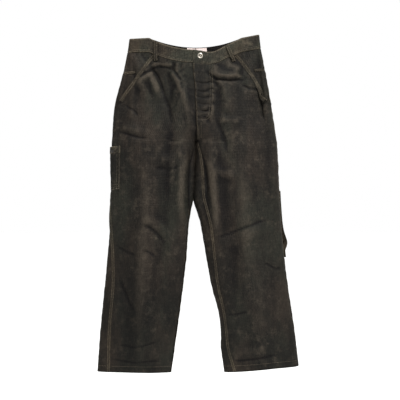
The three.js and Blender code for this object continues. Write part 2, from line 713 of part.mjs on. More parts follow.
// Hammer loop: a strap sewn flat at both ends and bowed out between them, most of all near its lower end
const bow = (s) => {
  const free = clamp((s - HAMMER_TOP - HAMMER_FOOT) / (HAMMER_BOTTOM - HAMMER_TOP - 2 * HAMMER_FOOT), 0, 1);
  return HAMMER_BOW * Math.sin(Math.PI * free ** HAMMER_SAG);
};
add(
  "hammer_loop",
  layer({
    side: LEFT,
    turns: [HAMMER_FRONT_TURN, HAMMER_BACK_TURN],
    drops: [HAMMER_TOP, HAMMER_BOTTOM],
    inner: (t, s) => outside + bow(s),
    outer: (t, s) => outside + bow(s) + THIN,
    parts: 5,
  }),
);

// Blank woven label inside the back of the band
const labelOuter = firstPly[0] - PLY_GAP;
add(
  "woven_label",
  within(
    centreLayer({
      face: BACK,
      drops: [LABEL_TOP, LABEL_TOP + LABEL_HEIGHT],
      inner: labelOuter - THIN / 2,
      outer: labelOuter,
      reach: 0.3,
    }),
    across(BACK, LABEL_WIDTH / 2 - LABEL_OFF_CENTRE, LABEL_WIDTH / 2 + LABEL_OFF_CENTRE),
  ),
  woven,
);

export default trousers;
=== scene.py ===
import bpy
import numpy as np
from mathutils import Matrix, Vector


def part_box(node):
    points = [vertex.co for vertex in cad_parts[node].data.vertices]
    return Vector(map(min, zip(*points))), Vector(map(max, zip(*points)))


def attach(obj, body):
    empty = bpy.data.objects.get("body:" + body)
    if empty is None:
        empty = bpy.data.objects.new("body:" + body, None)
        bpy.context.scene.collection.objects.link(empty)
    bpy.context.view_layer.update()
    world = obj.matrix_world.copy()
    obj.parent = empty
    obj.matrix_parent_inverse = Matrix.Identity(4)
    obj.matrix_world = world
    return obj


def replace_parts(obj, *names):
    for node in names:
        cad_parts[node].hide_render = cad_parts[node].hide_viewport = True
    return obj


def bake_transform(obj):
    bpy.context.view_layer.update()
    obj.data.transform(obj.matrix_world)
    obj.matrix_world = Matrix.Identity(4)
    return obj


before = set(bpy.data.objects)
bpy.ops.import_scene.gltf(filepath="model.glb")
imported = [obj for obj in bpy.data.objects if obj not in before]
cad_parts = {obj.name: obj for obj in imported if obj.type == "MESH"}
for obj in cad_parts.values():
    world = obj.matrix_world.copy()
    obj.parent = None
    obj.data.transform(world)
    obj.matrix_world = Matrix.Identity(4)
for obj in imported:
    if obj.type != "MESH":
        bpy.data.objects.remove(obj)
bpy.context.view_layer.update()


# The trousers' form: two flattened canvas tubes joined at the seat, hung by the band from two clips. All the
# cloth lies on this one surface, at a turn round its half (0 centre front, 1 outseam, 2 centre back) and a drop
# in millimetres below the band's top edge. The sizes are the pattern's own, in millimetres.
RIGHT, LEFT = -1, 1
SIDES = {"right": RIGHT, "left": LEFT}
BAND, HIP, CROTCH, FORK, KNEE, HEM = 42, 205, 322, 500, 700, 1035
INNER_GAP = 1.5
CLIP_X, CLIP_HALF_WIDTH, WAIST_HALF = 145, 16, 203
PINCH_DEPTH, PINCH_REACH = 6, 170
DROOP, DROOP_REACH, CORNER_LIFT = (38, 27), 260, {RIGHT: -3, LEFT: 10}
HEM_RISE, HEM_LIFT = {RIGHT: 0.02, LEFT: 0.085}, {RIGHT: 8, LEFT: 17}
SLUMP, SLUMP_AT = 11, 52


def profile(*points):
    """A smooth curve through (drop, value) points."""
    drops, values = np.array(points, float).T
    steps = np.diff(values) / np.diff(drops)
    slopes = np.concatenate([steps[:1], (steps[1:] + steps[:-1]) / 2, steps[-1:]])

    def at(drop):
        drop = np.clip(drop, drops[0], drops[-1])
        i = np.clip(np.searchsorted(drops, drop, "right") - 1, 0, len(drops) - 2)
        wide = drops[i + 1] - drops[i]
        p = (drop - drops[i]) / wide
        start = (2 * p**3 - 3 * p**2 + 1) * values[i] + (p**3 - 2 * p**2 + p) * wide * slopes[i]
        return start + (3 * p**2 - 2 * p**3) * values[i + 1] + (p**3 - p**2) * wide * slopes[i + 1]

    return at


def ease(value, low, high):
    share = np.clip((value - low) / (high - low), 0, 1)
    return share * share * (3 - 2 * share)


def bell(value, at, wide):
    return np.exp(-(((value - at) / wide) ** 2))


outer_above = profile((0, 203), (BAND, 206), (HIP, 240), (CROTCH, 254))
leg_width = profile((CROTCH, 252.5), (FORK, 257), (KNEE, 237), (HEM, 222))
leg_middle = {
    side: profile((CROTCH, 127.75), (FORK, 134), (KNEE, 134 + lean * 200), (HEM, 134 + lean * 535))
    for side, lean in ((RIGHT, 0.105), (LEFT, 0.142))
}
WIDER = {
    RIGHT: profile((0, 0), (100, 6), (200, 11), (320, 7), (420, 3), (600, 0), (720, 3), (900, 6), (HEM, 4)),
    LEFT: profile(
        (0, -10), (100, -7), (200, -10), (320, -5), (460, -4), (620, -7), (800, -6), (900, -3), (HEM, -4),
    ),
}
# How far the inner edges stand from their place: the legs rest against each other down to the fork, along a
# line that drifts to the wearer's right, and part below it.
INNER = {
    RIGHT: profile((CROTCH, 0.3), (420, 2.4), (FORK, 5), (521, 8), (570, 11), (620, 8), (690, 3), (HEM, 5)),
    LEFT: profile(
        (CROTCH, 0.3), (420, -5.6), (FORK, -12.4), (535, -7), (570, -0.5), (620, 2), (700, 0),
        (780, 1), (820, 6), (870, 8.5), (920, 5), (960, -2), (HEM, -3),
    ),
}
front_depth = profile((0, 20), (HIP, 34), (CROTCH, 42), (FORK, 40), (KNEE, 34), (HEM, 31))
back_depth = profile((0, 27), (HIP, 44), (CROTCH, 50), (FORK, 44), (KNEE, 37), (HEM, 33))


def lobe(side, drop):
    """The middle and half width of one half at a drop. Above the crotch it runs past the centre plane."""
    outer = outer_above(drop)
    inner = INNER_GAP - (outer + INNER_GAP) * (1 - (np.clip(drop, 0, CROTCH) / CROTCH) ** 4) ** 2
    leg = drop >= CROTCH
    middle = np.where(leg, leg_middle[side](drop), (outer + inner) / 2)
    return middle, np.where(leg, leg_width(drop) / 2, (outer - inner) / 2)


def turn_at(side, x, drop):
    """The turn on the front at a distance in millimetres from the centre plane; 2 minus it is the back's."""
    middle, half = lobe(side, drop)
    start = np.arccos(np.clip(middle / half, -1, 1))
    return np.clip((np.arccos(np.clip((middle - x) / half, -1, 1)) - start) / (np.pi - start), 0, 1)


def flat_form(side, turn, drop):
    """The inner face of the body cloth before it creases, in metres."""
    turn, drop = np.broadcast_arrays(np.asarray(turn, float), np.asarray(drop, float))
    middle, half = lobe(side, drop)
    start = np.arccos(np.clip(middle / half, -1, 1))
    back = turn >= 1
    angle = start + (np.pi - start) * np.where(back, 2 - turn, turn)
    x = middle - half * np.cos(angle)
    deep = np.where(back, back_depth(drop), front_depth(drop))
    y = deep * np.abs(np.sin(angle)) ** 0.85
    flat = CLIP_X - CLIP_HALF_WIDTH
    to_end = np.clip(middle + half - x, 0, PINCH_DEPTH)
    tight = np.sqrt(np.maximum(0, PINCH_DEPTH**2 - (PINCH_DEPTH - to_end) ** 2))
    pinched = np.where(x < flat, deep + (PINCH_DEPTH - deep) * (x / flat) ** 2, tight)
    y += (1 - ease(drop, BAND, PINCH_REACH)) * (pinched - y)
    drooped = -np.where(back, DROOP[1], DROOP[0]) * (1 - (x / CLIP_X) ** 2)
    sag = np.where(x < CLIP_X, drooped, CORNER_LIFT[side] * (x - CLIP_X) / (WAIST_HALF - CLIP_X))
    leaning = HEM_RISE[side] * (x - middle) * np.maximum(0, drop - FORK) / (HEM - FORK)
    slump = SLUMP * bell(x, SLUMP_AT, 34) * (1 - ease(drop, 20, 120)) * (side == LEFT) * ~back
    z = -drop + (sag - slump) * (1 - ease(drop, 0, DROOP_REACH))
    z = z + leaning + HEM_LIFT[side] * ease(drop, 380, HEM)
    inner = np.maximum(middle - half, 0)
    across = np.clip((x - inner) / (middle + half - inner), 0, 1)
    x = x + WIDER[side](drop) * across**2 + np.where(drop >= CROTCH, INNER[side](drop), 0) * (1 - across) ** 2
    return np.stack([side * x, np.where(back, y, -y), z], -1) / 1000


# How the cloth is creased: soft ridges, sharp creases and overhanging folds, each along a line of (x, height)
# in millimetres, with its half width and its height. The first list is on the front and the second on the back.
FRONT_FOLDS = [
    ("over", 11, 7.5, (34, -98), (48, -112), (64, -121), (100, -123), (146, -121)),
    ("crease", 8, -3.0, (36, -100), (64, -126), (104, -129), (146, -125)),
    ("crease", 9, -3.5, (142, -144), (166, -156), (196, -158)),
    ("crease", 12, -6.0, (194, -160), (207, -200), (214, -252)),
    ("ridge", 16, 4.0, (92, -78), (118, -92), (144, -96)),
    ("crease", 7, -4.5, (-180, -124), (-158, -108), (-136, -98), (-120, -118), (-110, -146), (-98, -184)),
    ("ridge", 13, 5.0, (-196, -150), (-170, -128), (-146, -116), (-132, -138), (-118, -176)),
    ("over", 10, 5.0, (-142, -88), (-112, -82), (-86, -86), (-62, -78)),
    ("crease", 8, -3.0, (-112, -84), (-88, -92), (-66, -104), (-48, -132), (-38, -170)),
    ("ridge", 15, 4.0, (-84, -96), (-58, -128), (-38, -172), (-20, -230), (-6, -280)),
    ("crease", 11, -3.0, (-98, -184), (-84, -220), (-76, -262)),
    ("crease", 9, -3.0, (-236, -290), (-206, -298), (-172, -308), (-150, -306)),
    ("ridge", 12, 2.5, (-236, -274), (-204, -281), (-168, -292)),
    ("crease", 9, -2.5, (-222, -208), (-196, -222), (-180, -240)),
    ("ridge", 13, 3.0, (72, -250), (104, -256), (140, -254)),
    ("crease", 12, -3.0, (64, -257), (78, -286), (92, -318), (96, -350)),
    ("crease", 11, -3.5, (8, -330), (26, -380), (34, -440), (40, -500)),
    ("crease", 11, -3.5, (-6, -330), (-18, -392), (-22, -460), (-20, -540)),
    ("ridge", 15, 3.5, (-24, -340), (-46, -420), (-50, -500), (-44, -600)),
    ("ridge", 15, 3.5, (30, -350), (56, -430), (64, -520), (66, -600)),
    ("ridge", 16, 3.0, (-40, -352), (-76, -372), (-120, -378)),
    ("crease", 9, -2.5, (-52, -392), (-92, -404), (-132, -400)),
    ("ridge", 14, 2.5, (52, -398), (84, -420), (128, -424)),
    ("crease", 11, -6.0, (-14, -134), (18, -142), (56, -136)),
    ("crease", 11, -6.0, (-18, -161), (16, -168), (58, -158)),
    ("crease", 10, -6.0, (-14, -184), (20, -188), (54, -180)),
    ("crease", 9, -4.0, (-8, -204), (14, -207), (36, -201)),
    ("crease", 11, -6.0, (-14, -222), (20, -227), (54, -217)),
    ("crease", 10, -5.0, (-6, -248), (20, -243), (36, -252), (44, -266)),
    ("crease", 9, -2.4, (-166, -574), (-146, -582), (-126, -600), (-106, -622)),
    ("ridge", 18, 2.6, (-178, -556), (-144, -562), (-114, -584), (-88, -616)),
    ("crease", 9, -2.4, (66, -612), (108, -600), (156, -580), (216, -560)),
    ("ridge", 20, 2.6, (70, -636), (118, -624), (170, -604), (226, -586)),
    ("crease", 10, -1.4, (96, -850), (132, -846), (170, -836)),
    ("crease", 9, -2.0, (-238, -744), (-216, -800), (-196, -840)),
    ("crease", 9, -1.6, (-170, -650), (-152, -656), (-134, -668)),
    ("ridge", 15, 2.4, (116, -966), (170, -962), (230, -950)),
    ("crease", 9, -2.2, (128, -990), (180, -985), (250, -972)),
    ("crease", 9, -1.5, (-266, -985), (-200, -996), (-110, -990)),
    ("crease", 9, -1.3, (-250, -940), (-190, -950), (-120, -930)),
    ("ridge", 34, 5.0, (-152, -330), (-160, -520), (-176, -760), (-186, -980)),
    ("ridge", 36, 5.0, (132, -350), (152, -540), (196, -780), (216, -990)),
    ("crease", 10, -2.0, (214, -690), (246, -706), (270, -704)),
    ("crease", 10, -1.6, (-246, -640), (-214, -660), (-186, -664)),
]
BACK_FOLDS = [
    ("ridge", 16, 3.0, (-170, -94), (-120, -98), (-70, -92)),
    ("ridge", 16, 3.0, (60, -90), (120, -98), (176, -96)),
    ("crease", 12, -4.0, (-40, -330), (-100, -350), (-170, -342)),
    ("crease", 12, -4.0, (40, -334), (104, -352), (176, -340)),
    ("ridge", 20, 5.0, (-30, -300), (-90, -322), (-170, -318)),
    ("ridge", 20, 5.0, (32, -302), (96, -324), (180, -316)),
    ("crease", 13, -4.5, (-70, -668), (-130, -690), (-220, -676)),
    ("crease", 13, -4.5, (84, -672), (150, -694), (240, -678)),
    ("ridge", 18, 5.0, (-66, -702), (-134, -722), (-226, -708)),
    ("ridge", 18, 5.0, (84, -706), (150, -726), (246, -712)),
    ("ridge", 36, 4.5, (-140, -400), (-166, -640), (-186, -960)),
    ("ridge", 36, 4.5, (140, -400), (172, -640), (214, -960)),
    ("crease", 11, -3.0, (-236, -470), (-190, -492), (-150, -488)),
    ("crease", 11, -3.0, (232, -560), (186, -576), (140, -566)),
]
# Soft light flattens the folds, so each is drawn this much higher than it is listed.
FOLD_HEIGHT = 1.75


def run_of(line):
    """The distance run along a line at each of its points."""
    return np.concatenate([[0], np.cumsum(np.linalg.norm(np.diff(line, axis=0), axis=1))])


def unit(vectors):
    return vectors / np.maximum(np.linalg.norm(vectors, axis=-1, keepdims=True), 1e-12)


def folded(points, folds):
    """How far out the folds push the cloth, in metres, and the light and shade painted along them: painted shade
    (below 0) in creases and under overhangs, painted highlight (above 0) on ridges and fold tops.
    """
    x, z = points[..., 0] * 1000, points[..., 2] * 1000
    out, tint = np.zeros(x.shape), np.zeros(x.shape)
    for kind, wide, high, *line in folds:
        line = np.array(line, float)
        near, along, above = np.full(x.shape, 1e9), np.zeros(x.shape), np.zeros(x.shape)
        run = run_of(line)
        for k, ((ax, az), (bx, bz)) in enumerate(zip(line, line[1:])):
            dx, dz = bx - ax, bz - az
            share = np.clip(((x - ax) * dx + (z - az) * dz) / (dx * dx + dz * dz), 0, 1)
            px, pz = x - ax - share * dx, z - az - share * dz
            far = np.hypot(px, pz)
            closer = far < near
            near = np.where(closer, far, near)
            along = np.where(closer, (run[k] + share * np.hypot(dx, dz)) / run[-1], along)
            above = np.where(closer, np.where((px * -dz + pz * dx) * np.sign(dx or 1) > 0, 1, -1), above)
        q = near / wide
        # Each fold paints light and shade into the colour: a painted highlight along an overhang's top, a
        # ridge's crest and beside a crease, and painted shade just under an overhang and down a crease.
        if kind == "over":
            shape = np.where(above > 0, bell(q, 0, 2.1), np.exp(-((q * 2.9) ** 2)))
            mark = 0.35 * bell(q, 0, 0.35) - 0.75 * bell(q * above, -0.55, 0.3)
        elif kind == "ridge":
            shape = bell(q, 0, 1)
            mark = 0.16 * bell(q, 0, 0.6)
        else:
            shape = np.exp(-1.5 * q)
            mark = -0.55 * bell(q, 0, 0.3) + 0.12 * bell(q, 0.9, 0.4)
        ends = ease(along, -0.02, 0.22) * (1 - ease(along, 0.78, 1.02))
        out += FOLD_HEIGHT * high / 1000 * shape * (0.25 + 0.75 * ends) * (near < wide * 6)
        tint += mark * ends * min(1.8, abs(high) / 4)
    return out, tint


def ring(left, right):
    """Each half's grid with a column more at both ends: above the crotch the other half's, below it its own."""
    padded = []
    for own, other in ((left, right), (right, left)):
        above = (np.arange(own.shape[0]) < crotch_row).reshape((-1,) + (1,) * (own.ndim - 2))
        before, after = np.where(above, other[:, 1], own[:, -2]), np.where(above, other[:, -2], own[:, 1])
        padded.append(np.concatenate([before[:, None], own, after[:, None]], 1))
    return padded


def outwards(left, right):
    """The unit normals of both halves' grids."""
    found = []
    for side, grid in zip((LEFT, RIGHT), ring(left, right)):
        across, down = grid[:, 2:] - grid[:, :-2], np.gradient(grid, axis=0)[:, 1:-1]
        found.append(unit(np.cross(across, down) * -side))
    return found


def grid_of(columns, above, below):
    """The turns and drops of a grid, with a row on the crotch."""
    drops = np.concatenate([np.linspace(0, CROTCH, above + 1), np.linspace(CROTCH, HEM, below + 1)[1:]])
    return np.linspace(0, 2, 2 * columns + 1), drops


def creased(turns, drops):
    """Both halves' points with the folds, their flat points, their normals and their tints of painted shade and
    painted highlight.
    """
    flat = [flat_form(side, turns[None], drops[:, None]) for side in (LEFT, RIGHT)]
    normals = outwards(*flat)
    calm = (1 - 0.8 * bell(drops, BAND, 26) * (drops < 90))[:, None]
    outer_calm = 0.35 + 0.65 * ease(np.abs(turns - 1) * 12, 0, 1)
    inner_floor = np.where(drops < CROTCH, 0.35, 0.0)[:, None]
    inner_calm = inner_floor + (1 - inner_floor) * ease(np.minimum(turns, 2 - turns) * 10, 0, 1)
    across = outer_calm[None] * inner_calm
    pushed, tints = [], []
    for points, out in zip(flat, normals):
        front = (turns <= 1)[None]
        push, tint = np.where(front, folded(points, FRONT_FOLDS), folded(points, BACK_FOLDS))
        fly = 1 - 0.75 * np.exp(-((points[..., 0] / 0.032) ** 4)) * ease(points[..., 2], -0.3, -0.23) * front
        kept = calm * across * ease(drops, 0.5 * BAND, BAND)[:, None]
        pushed.append(points + out * (push * kept * fly)[..., None])
        tints.append(tint * kept)
    return pushed, flat, normals, tints


# The hang itself: a short cloth simulation from the creased form. The band and the buttoned fly are held, and
# the canvas is let out by a little more than a hundredth, as worn cloth is, so that it settles into soft
# buckles.
coarse_turns, coarse_drops = grid_of(28, 36, 79)
crotch_row = 36
start, flat, normals, tints = creased(coarse_turns, coarse_drops)
settled = [np.zeros_like(points) for points in start]
HANG_FRAMES, LET_OUT, MOST_MOVED, BUTTONED_HOLD = 26, 0.014, 0.010, 0.8


def placed(name, data):
    """A new object in the scene."""
    made = bpy.data.objects.new(name, data)
    bpy.context.collection.objects.link(made)
    return made


rows, columns = start[0].shape[:2]
number = np.arange(2 * rows * columns).reshape(2, rows, columns)
number[1, :crotch_row, [0, -1]] = number[0, :crotch_row, [0, -1]]
number[:, crotch_row:, -1] = number[:, crotch_row:, 0]
number[:, crotch_row, [0, -1]] = number[0, crotch_row, 0]
used, place = np.unique(number, return_inverse=True)
place = place.reshape(number.shape)
corners = np.concatenate([points.reshape(-1, 3) for points in start])[used]
left_quads = np.stack([place[0, :-1, :-1], place[0, 1:, :-1], place[0, 1:, 1:], place[0, :-1, 1:]], -1)
right_quads = np.stack([place[1, :-1, :-1], place[1, :-1, 1:], place[1, 1:, 1:], place[1, 1:, :-1]], -1)
quads = np.concatenate([left_quads.reshape(-1, 4), right_quads.reshape(-1, 4)])
turn_of = np.broadcast_to(coarse_turns[None, None], number.shape).reshape(-1)[used]
drop_of = np.broadcast_to(coarse_drops[None, :, None], number.shape).reshape(-1)[used]
buttoned = (np.abs(corners[:, 0]) < 0.05) & (turn_of < 1) & (drop_of < 235)
held = np.where(drop_of <= BAND + 5, 1.0, np.where(buttoned, BUTTONED_HOLD, 0.0))
mesh = bpy.data.meshes.new("hanging")
mesh.from_pydata(corners.tolist(), [], quads.tolist())
hanging = placed("hanging", mesh)
group = hanging.vertex_groups.new(name="held")
for weight in (1.0, BUTTONED_HOLD):
    group.add(np.flatnonzero(held == weight).tolist(), weight, "REPLACE")
cloth = hanging.modifiers.new("hang", "CLOTH")
canvas = cloth.settings
canvas.quality, canvas.mass, canvas.air_damping, canvas.shrink_min = 6, 0.4, 2, -LET_OUT
canvas.tension_stiffness = canvas.compression_stiffness = 22
canvas.shear_stiffness, canvas.bending_stiffness = 12, 3
canvas.vertex_group_mass = "held"
canvas.effector_weights.gravity = 0.25
cloth.collision_settings.use_collision = False
cloth.point_cache.frame_end = HANG_FRAMES
for step in range(1, HANG_FRAMES + 1):
    bpy.context.scene.frame_set(step)
hung = hanging.evaluated_get(bpy.context.evaluated_depsgraph_get()).data
after = np.empty(3 * len(hung.vertices))
hung.vertices.foreach_get("co", after)
moved = after.reshape(-1, 3) - corners
far = np.linalg.norm(moved, axis=1, keepdims=True)
moved *= MOST_MOVED * np.tanh(far / MOST_MOVED) / np.maximum(far, 1e-9)
moved[:, 0] *= 1 - 0.75 * bell(turn_of, 1, 0.25)
touching = bell(np.minimum(turn_of, 2 - turn_of), 0, 0.22) * (1 - ease(drop_of, FORK + 20, FORK + 160))
moved *= (1 - 0.95 * touching * ease(drop_of, CROTCH - 110, CROTCH - 10))[:, None]
settled = list(moved[place])
bpy.data.objects.remove(hanging)
bpy.context.scene.frame_set(1)


# The same surface three times finer, with the small puckers that sewing leaves beside every seam. Each point
# also keeps its outward direction, its relief, which paints shade into creases and a highlight onto ridges, and
# where it was before it hung.
TURNS, DROPS = grid_of(84, 108, 237)
crotch_row = 108
PUCKER, LOOSE = 0.28, 0.45
DARKEST_BEND, PALEST_BEND = 0.0008, 0.0022


def finer(values):
    """A coarse grid's values on the fine grid, smoothly."""
    for axis, (old, new) in enumerate(((coarse_drops, DROPS), (coarse_turns, TURNS))):
        at = np.interp(new, old, np.arange(len(old)))
        i = np.clip(at.astype(int), 0, len(old) - 2)
        p = (at - i).reshape((-1, 1, 1) if axis == 0 else (1, -1, 1))
        taken = [np.take(values, np.clip(i + k, 0, len(old) - 1), axis) for k in (-1, 0, 1, 2)]
        weights = ((-p + 2 * p**2 - p**3) / 2, (2 - 5 * p**2 + 3 * p**3) / 2)
        weights += ((p + 4 * p**2 - 3 * p**3) / 2, (p**3 - p**2) / 2)
        values = sum(w * v for w, v in zip(weights, taken))
    return values


def pucker(side, points):
    """Small ripples, strongest beside the seams, in metres."""
    x, z = points[..., 0] * 1000 * side, -points[..., 2] * 1000
    sewn = np.exp(-np.abs(TURNS[None] - 1) * 22) + np.exp(-np.minimum(TURNS, 2 - TURNS)[None] * 16)
    level_seams = 0.8 * np.exp(-np.abs(DROPS - BAND - 6) / 12) + 1.1 * np.exp(-np.abs(HEM - 14 - DROPS) / 13)
    sewn = sewn + level_seams[:, None]
    ripple = np.sin(z / 4.1 + 1.7 * np.sin(z / 19 + side)) + 0.7 * np.sin(z / 6.7 + x / 23 + side)
    along = np.sin(x / 4.6 + 1.4 * np.sin(x / 21)) + 0.6 * np.sin(x / 8.3 + z / 30)
    level = (DROPS[:, None] < BAND + 40) | (DROPS[:, None] > HEM - 45)
    loose = np.sin(x / 17 + z / 41 + 2 * np.sin(z / 63 + side)) * np.sin(z / 23 - x / 37 + 1.6 * np.sin(x / 49))
    return (PUCKER * sewn * np.where(level, along, ripple) + LOOSE * loose) / 1000


fine, flat, normals, tints = creased(TURNS, DROPS)
fine = [
    points + finer(moved) + out * pucker(side, base)[..., None]
    for side, points, moved, out, base in zip((LEFT, RIGHT), fine, settled, normals, flat)
]
BUTTON_X = 13
for k in (0, 1):
    near = bell(flat[k][..., 0] * 1000, BUTTON_X, 26) * (flat[k][..., 2] > -0.225) * (TURNS < 1)[None]
    keep = np.clip(near * 1.3, 0, 0.92)[..., None] * (1 - ease(DROPS, 232, 262))[:, None, None]
    fine[k] = fine[k] * (1 - keep) + flat[k] * keep
fine_normals = outwards(*fine)
reliefs = []
creases_only = [grid - base for grid, base in zip(fine, flat)]
for grid, out, tint in zip(ring(*creases_only), fine_normals, tints):
    bend = grid[:, 2:] + grid[:, :-2] - 2 * grid[:, 1:-1]
    bend += np.pad(np.diff(grid, 2, 0), ((1, 1), (0, 0), (0, 0)))[:, 1:-1]
    bent = -(bend * out).sum(-1)
    for _ in range(2):
        bent[1:-1] = (bent[:-2] + 2 * bent[1:-1] + bent[2:]) / 4
        bent[:, 1:-1] = (bent[:, :-2] + 2 * bent[:, 1:-1] + bent[:, 2:]) / 4
    # relief: painted shade darkens valleys and creases, painted highlight pales ridges, and the folds' tints add
    # to both.
    relief = 0.5 + np.where(bent < 0, bent / DARKEST_BEND, bent / PALEST_BEND) + 0.5 * tint
    reliefs.append(np.clip(relief, 0, 1)[..., None])
HUNG = {
    side: np.concatenate(parts, -1)
    for side, parts in zip((LEFT, RIGHT), zip(ring(*fine), ring(*fine_normals), ring(*reliefs), ring(*flat)))
}


def on_cloth(side, turn, drop):
    """The hung cloth's points, normals, relief (0 valley, painted shade; 1 ridge, painted highlight) and flat
    points at turns and drops.
    """
    turn, drop = np.broadcast_arrays(np.asarray(turn, float), np.asarray(drop, float))
    grid = HUNG[side]
    column = np.clip(turn / 2 * (len(TURNS) - 1) + 1, 0, grid.shape[1] - 1.001)
    row = np.clip(np.interp(drop, DROPS, np.arange(len(DROPS))), 0, grid.shape[0] - 1.001)
    i, j = row.astype(int), column.astype(int)
    p, q = (row - i)[..., None], (column - j)[..., None]
    found = (grid[i, j] * (1 - q) + grid[i, j + 1] * q) * (1 - p)
    found += (grid[i + 1, j] * (1 - q) + grid[i + 1, j + 1] * q) * p
    return found[..., :3], unit(found[..., 3:6]), found[..., 6], found[..., 7:10]


def on_face(x, drop, back=False):
    """The same at distances from the centre plane, plus to the wearer's left, on the front or the back."""
    x, drop = np.broadcast_arrays(np.asarray(x, float), np.asarray(drop, float))
    sides = []
    for side in (LEFT, RIGHT):
        turn = turn_at(side, np.abs(x), drop)
        sides.append(on_cloth(side, 2 - turn if back else turn, drop))
    left = x >= 0
    return tuple(np.where(left if a.ndim == x.ndim else left[..., None], a, b) for a, b in zip(*sides))


# Waxed canvas, an oiled cotton duck: a tight plain weave that the wax darkens and flattens. It gives a low
# dry sheen, brown and grey-green clouds, paler edges where the wax has rubbed off, a painted highlight on
# ridges and painted shade in creases.
def linear(code):
    """An sRGB hex colour as a linear one."""
    parts = [int(code[i : i + 2], 16) / 255 for i in (1, 3, 5)]
    return [c / 12.92 if c <= 0.04045 else ((c + 0.055) / 1.055) ** 2.4 for c in parts] + [1]


def feed(tree, made, inputs):
    """Sets a node's inputs, each to a value or to another node's output."""
    for key, value in inputs.items():
        if isinstance(value, bpy.types.NodeSocket):
            tree.links.new(value, made.inputs[key])
        else:
            made.inputs[key].default_value = value


def node(tree, kind, inputs=(), **settings):
    """Adds a node with its settings and inputs."""
    made = tree.nodes.new("ShaderNode" + kind)
    for key, value in settings.items():
        setattr(made, key, value)
    feed(tree, made, dict(inputs))
    return made


def noise(tree, vector, scale, detail, **more):
    return node(tree, "TexNoise", {"Vector": vector, "Scale": scale, "Detail": detail, **more}).outputs[0]


def maths(tree, operation, *values):
    return node(tree, "Math", dict(enumerate(values)), operation=operation).outputs[0]


def mixed(tree, share, a, b):
    return node(tree, "Mix", {0: share, 6: a, 7: b}, data_type="RGBA").outputs[2]


def ranged(tree, value, low, high, to_low, to_high):
    limits = {"Value": value, "From Min": low, "From Max": high, "To Min": to_low, "To Max": to_high}
    return node(tree, "MapRange", limits, interpolation_type="SMOOTHSTEP").outputs[0]


def new_material(name):
    material = bpy.data.materials.new(name)
    material.use_nodes = True
    tree = material.node_tree
    return material, tree, tree.nodes["Principled BSDF"]


def waxed_canvas(name, dark, brown, green, pale, rub_and_highlight=0.55, rough=0.66, thread=2.4, grainy=1.0):
    """Duck with its thread spacing in millimetres, drawn coarser than the real 0.6 so that it shows."""
    material, tree, surface = new_material(name)
    place = node(tree, "TexCoord").outputs["Object"]
    cloth = node(tree, "UVMap", uv_map="cloth").outputs[0]
    long = node(tree, "Mapping", {"Vector": place, "Scale": (1, 1, 0.42)}).outputs[0]
    clouds = noise(tree, long, 13.0, 5.0, Roughness=0.66)
    tints = noise(tree, long, 7.5, 3.0, Roughness=0.55)
    stains = noise(tree, place, 38.0, 6.0, Roughness=0.72)
    cracks = noise(tree, place, 60.0, 3.0, Distortion=1.3)
    flecks = noise(tree, long, 210.0, 4.0, Roughness=0.8)
    nap = noise(tree, place, 520.0, 3.0, Roughness=0.7)
    threads = {"Vector": cloth, "Scale": 1000 / thread / 6.2832, "Distortion": 0.5, "Detail": 1.0}
    warp, weft = (node(tree, "TexWave", threads, bands_direction=way).outputs["Fac"] for way in "XY")
    worn, tone = (node(tree, "Attribute", attribute_name=what).outputs["Fac"] for what in ("worn", "tone"))
    crack = maths(tree, "ABSOLUTE", maths(tree, "SUBTRACT", cracks, 0.5))
    colour = linear(brown)
    for value, low, high, to_low, to_high, toward in (
        (tints, 0.42, 0.60, 0, 1, green),
        (clouds, 0.36, 0.64, 0.85, 0, dark),
        (stains, 0.5, 0.76, 0, 0.5, pale),
        # Paler where worn is high: rubbed edges, and the painted highlight on ridges.
        (worn, 0.53, 1.0, 0, rub_and_highlight, pale),
        # Near black where worn is low, in creases and valleys: painted shade.
        (worn, 0.0, 0.47, 0.82, 0, "#040303"),
        (crack, 0.0, 0.02, 0.16, 0, pale),
    ):
        colour = mixed(tree, ranged(tree, value, low, high, to_low, to_high), colour, linear(toward))
    grain = ranged(tree, maths(tree, "ADD", nap, flecks), 0.7, 1.3, 1 - 0.42 * grainy, 1 + 0.46 * grainy)
    grain = maths(tree, "MULTIPLY", grain, tone)
    colour = node(tree, "VectorMath", {0: colour, 1: grain}, operation="MULTIPLY").outputs[0]
    deep = maths(tree, "MULTIPLY_ADD", stains, 2.4, maths(tree, "ADD", warp, weft))
    deep = maths(tree, "MULTIPLY_ADD", flecks, 1.6, deep)
    looks = {
        "Base Color": colour,
        "Roughness": maths(tree, "MULTIPLY_ADD", clouds, -0.22, rough + 0.11),
        "Specular IOR Level": 0.08,
        "Sheen Weight": 0.01,
        "Sheen Roughness": 0.4,
        "Sheen Tint": linear("#a39a8c"),
        "Normal": node(tree, "Bump", {"Height": deep, "Strength": 0.6, "Distance": 0.0006}).outputs[0],
    }
    feed(tree, surface, looks)
    return material


canvas_body = waxed_canvas("waxed cotton duck, worn", "#0d0c0a", "#1f1a15", "#191914", "#38322a")
canvas_double = waxed_canvas(
    "waxed cotton duck, doubled and rubbed", "#15120f", "#29231b", "#21221b", "#4b4438", rub_and_highlight=0.8
)


# Patches where the cloth is drawn darker or paler than elsewhere: middle x and height, reach both ways, and
# how much darker (below 0) or paler. The dark patch between the legs below the crotch is painted shade.
TONE_PATCHES = [
    (-115, -785, 50, 70, -0.26), (-175, -900, 110, 190, -0.30), (-250, -640, 45, 120, -0.15),
    (22, -170, 42, 90, -0.34), (-205, -250, 40, 90, -0.12), (136, -730, 34, 120, -0.12),
    (-72, -440, 26, 150, 0.18), (-140, -655, 40, 50, 0.16), (-150, -150, 34, 60, 0.12),
    (96, -190, 46, 60, 0.10), (0, -380, 30, 130, -0.22), (180, -470, 50, 120, 0.06),
]


